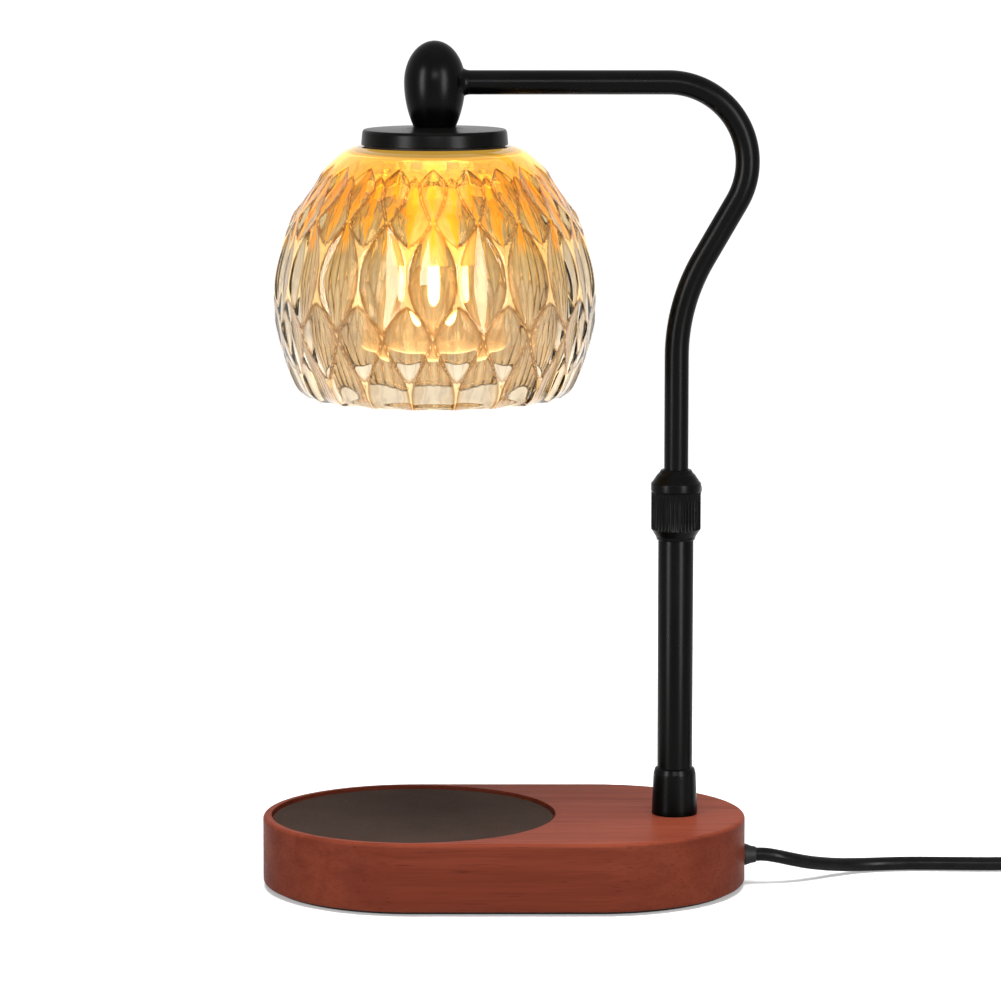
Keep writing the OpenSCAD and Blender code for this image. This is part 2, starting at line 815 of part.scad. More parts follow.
module tail_cord() {
    color("#151515") swept_tube(TAIL_ROUTE, cord_d, CORD_SIDES, 22.5);
}

coil_turns = COIL_LAYERS * TURNS_PER_LAYER;
// Share of the way in, from 0 at the outside to 1 at the inside, at turn u
function coil_in(u) = let (w = (u / TURNS_PER_LAYER) % 2) w < 1 ? w : 2 - w;
// Layers climbed at turn u: each climb takes the half turn about a reversal
function coil_level(u) =
    let (
        k = min(max(round(u / TURNS_PER_LAYER), 1), COIL_LAYERS - 1),
        s = (u - k * TURNS_PER_LAYER) * 2 + 0.5
    )
    k - 1 + min(max(s, 0), 1);
function coil_point(u) =
    let (r = coil_r - coil_pitch * TURNS_PER_LAYER * coil_in(u), a = 360 * u)
    [coil_x + r * cos(a), coil_y + r * sin(a), cord_z + coil_pitch * coil_level(u)];
COIL_ROUTE = concat(
    [[coil_x + coil_r, coil_y - coil_lead, cord_z]],
    [for (i = [0:coil_turns * LOOP_RINGS]) coil_point(i / LOOP_RINGS)],
    [[coil_x + coil_r, coil_y + coil_lead, cord_z + coil_pitch * (COIL_LAYERS - 1)]]
);
coil_gap = min([
    for (i = [0:coil_turns * LOOP_RINGS], j = [i + LOOP_RINGS / 2:coil_turns * LOOP_RINGS])
        norm(coil_point(i / LOOP_RINGS) - coil_point(j / LOOP_RINGS))
]) - cord_d;
echo(str("Least gap of the coil to itself: ", coil_gap, " mm"));

module cord_coil() {
    color("#151515") swept_tube(COIL_ROUTE, cord_d, COIL_SIDES);
}

module at_switch_screws() {
    for (x = [-1, 1])
        translate([switch_x + x * switch_screw_x, switch_y + switch_w / 2 - switch_screw_in, 0]) children();
}

module switch_cord_holes(d) {
    translate([switch_x - switch_l, switch_y, switch_cord_z])
        rotate([0, 90, 0]) cylinder(h = 2 * switch_l, d = d);
}

module switch_lower() {
    color("#191919")
    difference() {
        translate([switch_x, switch_y, 0]) {
            linear_extrude(switch_foot_step)
                rounded_rect(
                    switch_l - 2 * switch_foot_step, switch_w - 2 * switch_foot_step,
                    switch_round - switch_foot_step
                );
            translate([0, 0, switch_foot_step]) linear_extrude(switch_split - switch_foot_step)
                rounded_rect(switch_l, switch_w, switch_round);
        }
        translate([switch_x, switch_y, switch_wall])
            linear_extrude(switch_split) rounded_rect(board_room_l, board_well_w, 2);
        switch_cord_holes(sleeve_root_d + 2 * fit);
        at_switch_screws()
            translate([0, 0, -over]) cylinder(h = switch_split + 2 * over, d = case_screw_d);
    }
}

module switch_upper() {
    color("#1d1d1d")
    difference() {
        translate([switch_x, switch_y, switch_split]) {
            linear_extrude(switch_h - switch_split - switch_top_step)
                rounded_rect(switch_l, switch_w, switch_round);
            translate([0, 0, switch_h - switch_split - switch_top_step]) linear_extrude(switch_top_step)
                rounded_rect(
                    switch_l - 2 * switch_top_step, switch_w - 2 * switch_top_step,
                    switch_round - switch_top_step
                );
        }
        translate([switch_x, switch_y, switch_split - over])
            linear_extrude(switch_h - switch_split - switch_wall + over)
                rounded_rect(board_room_l, board_room_w, 2);
        switch_cord_holes(sleeve_root_d + 2 * fit);
        translate([switch_x, switch_y, switch_split]) cylinder(h = switch_h, r = shaft_d / 2 + pass);
        at_switch_screws() translate([0, 0, switch_split - over]) cylinder(h = 4 + over, d = case_screw_d);
    }
}

module switch_screws() {
    color("silver")
    at_switch_screws() translate([0, 0, case_screw_z]) cylinder(h = switch_split + 2.4, d = case_screw_d);
}

module switch_sleeves() {
    color("#161616")
    for (side = [0, 1])
        translate([switch_x, switch_y, switch_cord_z])
            rotate([0, 0, 180 * side])
                translate([switch_l / 2 - switch_sleeve_in, 0, 0])
                    rotate([0, 90, 0]) {
                        cylinder(h = switch_sleeve_in, d = sleeve_root_d);
                        translate([0, 0, switch_sleeve_in])
                            cylinder(h = switch_sleeve_out, d1 = sleeve_root_d, d2 = sleeve_tip_d);
                    }
}

module dimmer_board() {
    color("#2f5d3a")
    translate([switch_x, switch_y, switch_split]) {
        translate([0, 0, board_t / 2]) cube([board_l, board_room_w - 2 * pass, board_t], center = true);
        translate([0, 0, board_t]) cylinder(h = pot_h, r = pot_r - 0.2);
    }
}

module dimmer_knob() {
    color("#2b2b2b")
    translate([switch_x, switch_y, 0]) {
        translate([0, 0, pot_top + pass]) cylinder(h = switch_h + knob_gap - pot_top, d = shaft_d);
        translate([0, 0, switch_h + knob_gap]) knurled(knob_d / 2, 0.5, knob_ribs, knob_h - 0.8);
        translate([0, 0, switch_h + knob_gap + knob_h - 0.8])
            cylinder(h = 0.8, r1 = knob_d / 2 - 0.7, r2 = knob_d / 2 - 1.5);
        translate([knob_d / 2 - 5.2, -0.6, switch_h + knob_gap + knob_h - 0.4]) cube([3.4, 1.2, 0.8]);
    }
}

// Frame of the plug's body: its origin is where the sleeve starts, and the blades point to -X
module plug_place() {
    translate([plug_x, plug_y, plug_z]) rotate([0, 0, 90]) translate([-plug_sleeve_l, 0, 0]) children();
}

module plug_sleeve() {
    color("#161616")
    plug_place()
        rotate([0, 90, 0]) {
            cylinder(h = plug_sleeve_l, d1 = plug_sleeve_d, d2 = sleeve_tip_d);
            for (i = [1:4])
                translate([0, 0, 3.2 * i - 1]) cylinder(h = 1.2, d = plug_sleeve_d + 0.4 - 0.6 * i);
        }
}

module plug_body() {
    color("#181818")
    plug_place()
        hull() {
            translate([-plug_l, 0, 0])
                rotate([0, 90, 0])
                    linear_extrude(plug_grip_l) rounded_rect(plug_t, plug_w, plug_round, $fn = 32);
            translate([-1, 0, 0])
                rotate([0, 90, 0])
                    linear_extrude(1) rounded_rect(plug_t - 2, plug_waist_w, plug_round - 1, $fn = 32);
        }
}

module plug_blades() {
    color("#c9c4b8")
    plug_place()
        for (y = [-1, 1])
            translate([-plug_l - blade_l, y * blade_pitch / 2 - blade_t / 2, -blade_w / 2])
                difference() {
                    cube([blade_l, blade_t, blade_w]);
                    translate([blade_hole_d + 0.2, -over, blade_w / 2])
                        rotate([-90, 0, 0]) cylinder(h = blade_t + 2 * over, d = blade_hole_d);
                }
}

// ---------------------------------------------------------------- arm

module slide_bush() {
    color("#b08d4f")
    translate([post_x, 0, slide_bush_z]) tube(post_bore_r - fit, arm_d / 2 + fit, slide_bush_l);
}

module arm_tube() {
    color("#1f1f20") {
        translate([post_x, 0, arm_foot_z]) tube(arm_d / 2, arm_bore / 2, bend_z - arm_foot_z);
        swept_pipe(arm_line(bend_z - over, arm_end_x), arm_d - 2 * seam, arm_bore + 2 * seam, ARM_SIDES);
    }
}

module bush_rings() {
    color("#9a9a9a")
    for (z = ring_z) translate([post_x, 0, z]) tube(arm_d / 2 + ring_wall, arm_d / 2, bush_ring_l);
}

// Radius of the egg at height z over its widest place
function egg_at(z) = z > 0
    ? egg_r * sqrt(max(0, 1 - pow(z / egg_top, 2)))
    : egg_r - egg_side_r + sqrt(pow(egg_side_r, 2) - z * z);

module finial() {
    steps = 14;
    color("#1d1d1e")
    difference() {
        union() {
            translate([shade_x, 0, arm_h])
                rotate_extrude()
                    polygon(concat(
                        [[0, -egg_foot]],
                        [for (i = [0:5]) let (z = -egg_foot * (1 - i / 6)) [egg_at(z), z]],
                        [for (i = [0:steps]) let (a = 90 * i / steps) [egg_r * cos(a), egg_top * sin(a)]]
                    ));
            translate([shade_x + egg_r - 2.2, 0, arm_h])
                rotate([0, 90, 0]) cylinder(h = 3.4, r1 = arm_d / 2 + 2.6, r2 = arm_d / 2 + 0.5);
        }
        translate([shade_x, 0, finial_foot - over])
            cylinder(h = egg_bore_top - finial_foot + over, r = stud_r + fit);
        translate([shade_x, 0, arm_h]) rotate([0, 90, 0]) cylinder(h = 2 * egg_r, d = arm_d + 2 * fit);
    }
}

module cap_stud() {
    color("#b9b9b9")
    translate([shade_x, 0, cap_stud_foot]) tube(stud_r, stud_bore / 2, cap_stud_top - cap_stud_foot);
}

module cap_nut() {
    color("silver") translate([shade_x, 0, cap_nut_z]) hex_nut(nut_flats, stud_r + fit, cap_nut_t);
}

module shade_cap() {
    rim_r = cap_d / 2;
    color("#222223")
    translate([shade_x, 0, cap_foot])
        difference() {
            rotate_extrude()
                polygon([
                    [0, 0], [rim_r + 0.1, 0], [rim_r, 0.5], [rim_r - 0.35, cap_rim - 0.5],
                    [rim_r - 0.8, cap_rim],
                    [cap_boss_r, cap_rim], [cap_boss_r - 0.8, cap_rim + cap_rise * 0.4],
                    [egg_foot_r + 0.2, cap_rim + cap_rise], [0, cap_rim + cap_rise]
                ]);
            translate([0, 0, -over]) cylinder(h = cap_rim - cap_sheet + over, r = cap_hollow_r);
            translate([0, 0, -over]) cylinder(h = cap_rim + cap_rise + 2 * over, r = stud_r + fit);
        }
}

module shade_seal() {
    color("#4a4a48") translate([shade_x, 0, glass_top]) tube(cap_d / 2 - 1, cap_hollow_r, seal_t);
}

// Depth of the cuts at an angle and a share of the glass's depth
function cut_at(a, s) =
    max([
        for (row = CUT_ROWS)
            let (
                v = (s - row[1]) / row[2], width = 1 - v * v,
                turn = a * cut_count / 360 - row[0], u = 2 * abs(turn - round(turn)) / max(width, 0.01)
            )
            width > 0 && u < 1 ? width * (1 - u * u) : 0
    ]) * cut_depth;

function glass_outer(i, a) =
    let (
        p = curve(GLASS_LINE, (len(GLASS_LINE) - 1) * i / GLASS_ROWS), r = glass_r * p[0] - cut_at(a, p[1])
    )
    [r, glass_top - glass_h * p[1]];

// Inside of the wall, from the rim up to the flat top
function glass_inner(i) =
    let (
        t = (len(GLASS_LINE) - 1) * (1 - i / GLASS_INNER_ROWS), p = curve(GLASS_LINE, t),
        z = max(glass_foot + rim_slope, min(glass_top - glass_h * p[1], glass_under))
    )
    [glass_r * p[0] - glass_wall - (1 - i / GLASS_INNER_ROWS) * shoulder_extra - cut_depth / 2, z];

// Closed line round the section of the glass at an angle
function glass_section(a) = concat(
    [[glass_hole_d / 2, glass_top]],
    [for (i = [0:GLASS_ROWS]) glass_outer(i, a)],
    [for (i = [0:GLASS_INNER_ROWS]) glass_inner(i)],
    [[glass_hole_d / 2, glass_under]]
);

module shade_glass() {
    n = GLASS_ROWS + GLASS_INNER_ROWS + 4;
    points = [
        for (c = [0:GLASS_COLUMNS - 1])
            let (a = 360 * c / GLASS_COLUMNS - 90)
            for (p = glass_section(a + 90)) [shade_x + p[0] * cos(a), p[0] * sin(a), p[1]]
    ];
    faces = [
        for (c = [0:GLASS_COLUMNS - 1], k = [0:n - 1])
            let (d = (c + 1) % GLASS_COLUMNS, m = (k + 1) % n)
            each [[c * n + k, c * n + m, d * n + m], [c * n + k, d * n + m, d * n + k]]
    ];
    color([0.95, 0.78, 0.5, 0.6]) polyhedron(points, faces);
}

module shade_plate() {
    color("silver") translate([shade_x, 0, plate_z]) tube(plate_r, stud_r + fit, plate_t);
}

module holder_bracket() {
    color("silver")
    difference() {
        translate([shade_x, 0, 0]) {
            translate([-bracket_span / 2, -bracket_w / 2, bracket_z])
                cube([bracket_span, bracket_w, bracket_t]);
            for (turn = [0, 180])
                rotate([0, 0, turn])
                    translate([bracket_span / 2 - bracket_t, -bracket_w / 2, bracket_foot]) {
                        cube([bracket_t, bracket_w, bracket_h]);
                        cube([(bracket_l - bracket_span) / 2 + bracket_t, bracket_w, bracket_t]);
                    }
        }
        translate([shade_x, 0, bracket_z - over]) cylinder(h = bracket_t + 2 * over, r = stud_r + fit);
        at_holder_screws()
            translate([0, 0, bracket_foot - over]) cylinder(h = bracket_t + 2 * over, d = holder_screw_d);
    }
}

module at_holder_screws() {
    for (side = [-1, 1]) translate([shade_x + side * holder_screw_x, 0, 0]) children();
}

module lampholder() {
    slot_h = pin_l + 1;
    color("#e9e4d6")
    difference() {
        union() {
            translate([shade_x, 0, holder_foot]) cylinder(h = holder_h, r = holder_r);
            translate([shade_x, 0, holder_top - lug_t])
                linear_extrude(lug_t) rounded_rect(bracket_l, lug_w, 3);
        }
        at_holder_screws()
            translate([0, 0, holder_top - lug_t - over]) cylinder(h = lug_t + 2 * over, d = holder_screw_d);
        translate([shade_x, 0, holder_foot - over]) pin_slots(slot_h + over, pin_head_d / 2 + 0.3);
    }
}

// Round slots in which the pins travel while the bulb is turned
module pin_slots(h, r) {
    for (side = [0, 180])
        rotate([0, 0, side - bulb_turn]) {
            rotate_extrude(angle = bulb_turn) translate([pin_pitch / 2 - r, 0]) square([2 * r, h]);
            for (a = [0, bulb_turn])
                rotate([0, 0, a]) translate([pin_pitch / 2, 0, 0]) cylinder(h = h, r = r);
        }
}

module holder_screws() {
    color("silver")
    at_holder_screws() {
        translate([0, 0, holder_top - lug_t - holder_screw_head_t])
            cylinder(h = holder_screw_head_t, d = holder_screw_head_d);
        translate([0, 0, holder_top - lug_t - 0.4])
            cylinder(h = lug_t + 0.4 + bracket_t + 1, d = holder_screw_d);
    }
}

module arm_lead() {
    drop_r = 6;
    drop = arc([shade_x + drop_r, 0, arm_h - drop_r], drop_r, 90, 180, 6);
    line = concat(arm_line(arm_foot_z + 0.4, shade_x + 2 * drop_r), drop, [[shade_x, 0, holder_top]]);
    color("#26221f") swept_tube(line, lead_d, CORD_SIDES, 22.5, [0, 1, 0]);
}

// ---------------------------------------------------------------- bulb

// Radius of the reflector's outside at height z over its rim
function reflector_r(z) = bulb_neck_r + (bulb_r - bulb_neck_r) * sqrt(max(0, 1 - z / bowl_h));

module bulb_reflector() {
    steps = 9;
    bowl = [
        for (i = [0:steps])
            let (z = bowl_h * (1 - pow(1 - i / steps, 2))) [reflector_r(z), bulb_rim_h + z]
    ];
    inner = [for (i = [steps:-1:0]) bowl[i] - [bulb_glass, i == steps ? 0 : 0.2]];
    color([0.9, 0.85, 0.75])
    translate([shade_x, 0, bulb_face])
        rotate_extrude()
            polygon(concat([[bulb_r, lens_t]], bowl, inner, [[bulb_r - bulb_glass, lens_t]]));
}

module bulb_lens() {
    color([0.95, 0.95, 0.9])
    translate([shade_x, 0, bulb_face])
        rotate_extrude()
            polygon([[0, 0], [bulb_r - 1.2, 0], [bulb_r, 0.5], [bulb_r, lens_t], [0, lens_t]]);
}

module bulb_base() {
    color("#efeade")
    translate([shade_x, 0, bulb_top - bulb_neck_h])
        difference() {
            union() {
                cylinder(h = bulb_neck_h - base_taper_h, r = bulb_neck_r);
                translate([0, 0, bulb_neck_h - base_taper_h])
                    cylinder(h = base_taper_h, r1 = bulb_neck_r, r2 = bulb_neck_r - 1);
            }
            translate([0, 0, -over]) cylinder(h = 2 + over, r = 6);
        }
}

module bulb_pins() {
    color("silver")
    translate([shade_x, 0, bulb_top])
        for (side = [-1, 1])
            translate([side * pin_pitch / 2, 0, 0]) {
                cylinder(h = pin_l - 0.4, d = pin_neck_d);
                translate([0, 0, pin_l - 0.4 - pin_head_h]) cylinder(h = pin_head_h, d = pin_head_d);
            }
}

module bulb_capsule() {
    color([1, 0.95, 0.8])
    translate([shade_x, 0, bulb_top - bulb_neck_h + 2 - capsule_l]) {
        cylinder(h = capsule_l, r = capsule_r);
        sphere(r = capsule_r);
    }
}

base_body();
candle_pad();
underside_pad();
bottom_cover();
cover_screws();
ballast_plate();
ballast_screws();
post_stud();
stud_washer();
stud_nut();
post_ferrule();
post_tube();
height_collar();
collar_bush();
cord_sleeve();
cord_clamp();
clamp_screws();
base_lead();
lamp_cord();
switch_lower();
switch_upper();
switch_screws();
switch_sleeves();
dimmer_board();
link_cord();
cord_coil();
tail_cord();
plug_sleeve();
plug_body();
plug_blades();
dimmer_knob();
lock_tip();
lock_screw();
slide_bush();
arm_tube();
bush_rings();
finial();
cap_stud();
cap_nut();
shade_cap();
shade_seal();
shade_glass();
shade_plate();
holder_bracket();
holder_screws();
lampholder();
arm_lead();
bulb_reflector();
bulb_lens();
bulb_base();
bulb_pins();
bulb_capsule();
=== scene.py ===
"""Looks of the candle warmer lamp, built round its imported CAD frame.

Shapes are written in millimetres in the frame's own axes: +X to the post, +Z up.
"""
import math

import bmesh
import bpy
from mathutils import Matrix, Vector


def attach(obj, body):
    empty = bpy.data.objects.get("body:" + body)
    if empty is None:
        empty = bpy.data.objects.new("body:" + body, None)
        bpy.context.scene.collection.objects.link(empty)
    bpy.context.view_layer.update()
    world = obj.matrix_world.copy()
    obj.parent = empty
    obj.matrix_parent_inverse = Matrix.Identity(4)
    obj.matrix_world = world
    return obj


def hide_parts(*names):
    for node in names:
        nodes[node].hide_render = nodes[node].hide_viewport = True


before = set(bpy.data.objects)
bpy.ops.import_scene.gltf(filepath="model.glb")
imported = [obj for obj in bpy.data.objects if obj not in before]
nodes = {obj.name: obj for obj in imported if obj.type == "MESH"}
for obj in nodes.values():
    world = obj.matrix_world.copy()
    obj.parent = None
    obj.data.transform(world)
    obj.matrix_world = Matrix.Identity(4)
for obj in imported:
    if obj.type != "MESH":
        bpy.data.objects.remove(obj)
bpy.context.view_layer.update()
MM = 0.001
scene = bpy.context.scene

# ------------------------------------------------------------------ camera

CAMERA_PLACE = (-0.0012, -1.6, 0.356)  # metres
CAMERA_DOWN = 7.95  # degrees below level
CAMERA_LENS = 171.1  # mm, on a 36 mm sensor

camera = bpy.data.objects.new("camera", bpy.data.cameras.new("camera"))
scene.collection.objects.link(camera)
camera.location = CAMERA_PLACE
camera.rotation_euler = (math.radians(90 - CAMERA_DOWN), 0, 0)
camera.data.sensor_width = 36
camera.data.lens = CAMERA_LENS
camera.data.clip_start = 0.05
camera.data.clip_end = 40
scene.camera = camera


# ------------------------------------------------------------------ mesh helpers

def arc_points(centre, radius, start, end, steps):
    """Points on an arc in the XZ plane, angles counted from +X to +Z."""
    return [
        (centre[0] + radius * math.cos(a), 0, centre[1] + radius * math.sin(a))
        for a in (math.radians(start + (end - start) * i / steps) for i in range(steps + 1))
    ]


def curve_at(points, t):
    """Catmull-Rom curve through points, t counted in points."""
    n = len(points) - 1
    i = min(int(t), n - 1)
    f = t - i
    a, b, c, d = points[max(i - 1, 0)], points[i], points[i + 1], points[min(i + 2, n)]
    return [
        q + f / 2 * ((s - p) + f * ((2 * p - 5 * q + 4 * s - w) + f * (3 * (q - s) + w - p)))
        for p, q, s, w in zip(a, b, c, d)
    ]


def smoothed(points, per=5):
    """The curve through points, with per stretches between two of them."""
    n = (len(points) - 1) * per
    return [curve_at(points, i / per) for i in range(n)] + [list(points[-1])]


def rounded(points, steps=5, closed=False):
    """A line of (x, y) or (x, y, radius) points with each corner rounded by its radius."""
    line, n = [], len(points)
    for i, point in enumerate(points):
        radius = point[2] if len(point) > 2 else 0
        if radius <= 0 or (not closed and i in (0, n - 1)):
            line.append((point[0], point[1]))
            continue
        here = Vector(point[:2])
        back = Vector(points[i - 1][:2]) - here
        on = Vector(points[(i + 1) % n][:2]) - here
        half = back.angle(on) / 2
        reach = min(radius / math.tan(half), back.length * 0.5, on.length * 0.5)
        radius = reach * math.tan(half)
        back.normalize()
        on.normalize()
        centre = here + (back + on).normalized() * (radius / math.sin(half))
        first, last = here + back * reach - centre, here + on * reach - centre
        span = first.angle(last)
        for k in range(steps + 1):
            t = k / steps
            v = (first * math.sin((1 - t) * span) + last * math.sin(t * span)) / math.sin(span)
            line.append(tuple(centre + v))
    return line


def lathe(profile, at=(0, 0), sides=96, place=None, radius_at=None):
    """Solid turned about Z from (r, z) points.

    A line that doesn't start and end on the axis is closed. radius_at can change r round the turn.
    """
    verts, rows = [], []
    for r, z in profile:
        if r < 1e-6:
            rows.append([len(verts)])
            verts.append(Vector((0, 0, z)))
            continue
        rows.append(range(len(verts), len(verts) + sides))
        for k in range(sides):
            a = 2 * math.pi * k / sides
            q = radius_at(r, z, k, sides) if radius_at else r
            verts.append(Vector((q * math.cos(a), q * math.sin(a), z)))
    pairs = list(zip(rows, rows[1:]))
    if len(rows[0]) > 1 or len(rows[-1]) > 1:
        pairs.append((rows[-1], rows[0]))
    faces = []
    for a, b in pairs:
        for k in range(sides):
            m = (k + 1) % sides
            if len(a) > 1 and len(b) > 1:
                faces.append((a[k], a[m], b[m], b[k]))
            elif len(b) > 1:
                faces.append((a[0], b[m], b[k]))
            elif len(a) > 1:
                faces.append((a[k], a[m], b[0]))
    place = place or Matrix.Translation((at[0], at[1], 0))
    return [place @ v for v in verts], faces


def sweep(route, radius, sides=32, bore=None):
    """A round tube along a route, or a hollow one where bore is given."""
    points = [Vector(p) for p in route]
    n = len(points)
    side, verts = None, []
    walls = [radius] if bore is None else [radius, bore]
    frames = []
    for i, point in enumerate(points):
        back = (point - points[i - 1]).normalized() if i else (points[1] - point).normalized()
        on = (points[i + 1] - point).normalized() if i < n - 1 else back
        along = (back + on).normalized()
        if side is None:
            side = along.cross(Vector((0, 1, 0)) if abs(along.y) < 0.7 else Vector((0, 0, 1)))
        side = (side - along * side.dot(along)).normalized()
        frames.append((point, side.copy(), along.cross(side)))
    for r in walls:
        for point, side, up in frames:
            for k in range(sides):
                a = 2 * math.pi * k / sides
                verts.append(point + side * (r * math.cos(a)) + up * (r * math.sin(a)))
    faces = []
    for w in range(len(walls)):
        for i in range(n - 1):
            for k in range(sides):
                a, m = (w * n + i) * sides, (k + 1) % sides
                faces.append((a + k, a + m, a + sides + m, a + sides + k))
    last = (n - 1) * sides
    if bore is None:
        faces += [tuple(range(sides)), tuple(range(last, last + sides))]
    else:
        inner = n * sides
        for k in range(sides):
            m = (k + 1) % sides
            faces.append((k, m, inner + m, inner + k))
            faces.append((last + k, last + m, inner + last + m, inner + last + k))
    return verts, faces


def placed(start, end):
    """Where a solid made along Z goes to run from start to end, and how long it is."""
    start, end = Vector(start), Vector(end)
    turn = (end - start).to_track_quat("Z", "Y").to_matrix().to_4x4()
    return Matrix.Translation(start) @ turn, (end - start).length


def stack(outlines, centre_first=None, centre_last=None):
    """A solid skinned over closed outlines of equally many points, its ends fans or plain faces."""
    n = len(outlines[0])
    verts = [Vector(p) for line in outlines for p in line]
    faces = []
    for i in range(len(outlines) - 1):
        for k in range(n):
            m = (k + 1) % n
            faces.append((i * n + k, i * n + m, (i + 1) * n + m, (i + 1) * n + k))
    for centre, first in ((centre_first, 0), (centre_last, (len(outlines) - 1) * n)):
        if centre is None:
            faces.append(tuple(range(first, first + n)))
        else:
            verts.append(Vector(centre))
            faces += [(first + k, first + (k + 1) % n, len(verts) - 1) for k in range(n)]
    return verts, faces


def merged(*solids):
    """Several solids as one mesh."""
    verts, faces = [], []
    for some, rest in solids:
        faces += [tuple(i + len(verts) for i in face) for face in rest]
        verts += some
    return verts, faces


def ribs(count, depth, foot, top, run, least_r):
    """A lathe's radius_at: ribs beyond least_r that fade over run at their foot and top."""
    def radius_at(r, z, k, sides):
        fade = min(max((z - foot) / run, 0), 1) * min(max((top - z) / run, 0), 1)
        return r - (depth * fade * abs(math.sin(math.pi * count * k / sides)) if r > least_r else 0)
    return radius_at


def new_mesh(name, solid):
    """A mesh in metres from a solid in millimetres."""
    verts, faces = solid
    mesh = bpy.data.meshes.new(name)
    mesh.from_pydata([tuple(c * MM for c in v) for v in verts], [], faces)
    return mesh


def piece(name, solid, body, look, replaces, sharp=38):
    """One mesh object of the lamp, smooth but for edges over sharp degrees, riding on its body."""
    mesh = new_mesh(name, solid)
    work = bmesh.new()
    work.from_mesh(mesh)
    bmesh.ops.recalc_face_normals(work, faces=work.faces)
    work.to_mesh(mesh)
    work.free()
    mesh.polygons.foreach_set("use_smooth", [True] * len(mesh.polygons))
    mesh.set_sharp_from_angle(angle=math.radians(sharp))
    mesh.materials.append(look)
    made = bpy.data.objects.new(name, mesh)
    scene.collection.objects.link(made)
    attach(made, body)
    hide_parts(*replaces)
    return made


def bored(target, *cutters):
    """Takes cylinders (start, end, radius) out of a piece."""
    for start, end, radius in cutters:
        place, length = placed(start, end)
        outline = [(0, 0), (radius, 0), (radius, length), (0, length)]
        mesh = new_mesh("cutter", lathe(outline, sides=64, place=place))
        cutter = bpy.data.objects.new("cutter", mesh)
        scene.collection.objects.link(cutter)
        change = target.modifiers.new("bore", "BOOLEAN")
        change.operation = "DIFFERENCE"
        change.object = cutter
        change.solver = "EXACT"
        bpy.context.view_layer.update()
        result = bpy.data.meshes.new_from_object(
            target.evaluated_get(bpy.context.evaluated_depsgraph_get())
        )
        target.modifiers.clear()
        target.data = result
        bpy.data.objects.remove(cutter)


# ------------------------------------------------------------------ material helpers

class Look:
    """A procedural material: a Principled shader and the nodes that feed it."""

    def __init__(self, name, **values):
        self.made = bpy.data.materials.new(name)
        self.made.use_nodes = True
        self.tree = self.made.node_tree
        self.shader = self.tree.nodes["Principled BSDF"]
        for socket, value in values.items():
            self.put(self.shader.inputs[socket.replace("_", " ")], value)
        self.place = self.node("TexCoord").outputs["Object"]

    def put(self, socket, value):
        """Links a socket to another one, or sets its value."""
        if isinstance(value, bpy.types.NodeSocket):
            self.tree.links.new(value, socket)
        else:
            socket.default_value = value

    def node(self, kind, inputs=None, **settings):
        made = self.tree.nodes.new("ShaderNode" + kind)
        for name, value in settings.items():
            setattr(made, name, value)
        for name, value in (inputs or {}).items():
            self.put(made.inputs[name], value)
        return made

    def stretched(self, scale):
        """Object coordinates scaled by a vector, per metre."""
        return self.node("Mapping", {"Vector": self.place, "Scale": scale}).outputs["Vector"]

    def noise(self, scale, detail=3, rough=0.5, where=None, warp=0):
        inputs = {"Scale": scale, "Detail": detail, "Roughness": rough, "Distortion": warp}
        inputs["Vector"] = where or self.place
        return self.node("TexNoise", inputs).outputs["Fac"]

    def ramp(self, factor, *stops):
        """Colours at stops (place, colour), as a colour socket."""
        node = self.node("ValToRGB", {"Fac": factor})
        marks = node.color_ramp.elements
        for k, (spot, colour) in enumerate(stops):
            mark = marks[k] if k < len(marks) else marks.new(spot)
            mark.position = spot
            mark.color = (*colour, 1) if len(colour) == 3 else colour
        return node.outputs["Color"]

    def spread(self, factor, low, high, start=0.0, end=1.0):
        """factor from start to end, as low to high."""
        inputs = {"Value": factor, "From Min": start, "From Max": end}
        inputs.update({"To Min": low, "To Max": high})
        return self.node("MapRange", inputs).outputs["Result"]

    def math(self, operation, a, b=0.0):
        node = self.node("Math", operation=operation)
        self.put(node.inputs[0], a)
        self.put(node.inputs[1], b)
        return node.outputs["Value"]

    def blend(self, factor, a, b, mode="MIX"):
        """Colour a turned into b by factor. A Mix node's colour sockets go by number."""
        node = self.node("Mix", data_type="RGBA", blend_type=mode)
        self.put(node.inputs["Factor"], factor)
        self.put(node.inputs[6], a)
        self.put(node.inputs[7], b)
        return node.outputs[2]

    def axis(self, name):
        """The place along X, Y or Z, in metres."""
        return self.node("SeparateXYZ", {"Vector": self.place}).outputs[name]

    def bump(self, height, strength, distance):
        inputs = {"Height": height, "Strength": strength, "Distance": distance}
        return self.node("Bump", inputs).outputs["Normal"]

    def set(self, **values):
        """Feeds the shader's sockets, and gives the material."""
        for socket, value in values.items():
            self.put(self.shader.inputs[socket.replace("_", " ")], value)
        return self.made


def plain_look(name, colour, spot, rough, metal=0.0, grain=900, depth=0.00002, shine=0.5):
    """A moulded, plated or cast surface: mottled colour and roughness with fine relief."""
    look = Look(name, Metallic=metal, Specular_IOR_Level=shine)
    cloud = look.noise(60, 4)
    fine = look.noise(grain, 3)
    return look.set(
        Base_Color=look.ramp(cloud, (0.3, colour), (0.75, spot)),
        Roughness=look.spread(fine, rough - 0.06, rough + 0.08, 0.3, 0.7),
        Normal=look.bump(fine, 0.35, depth),
    )


# ------------------------------------------------------------------ materials

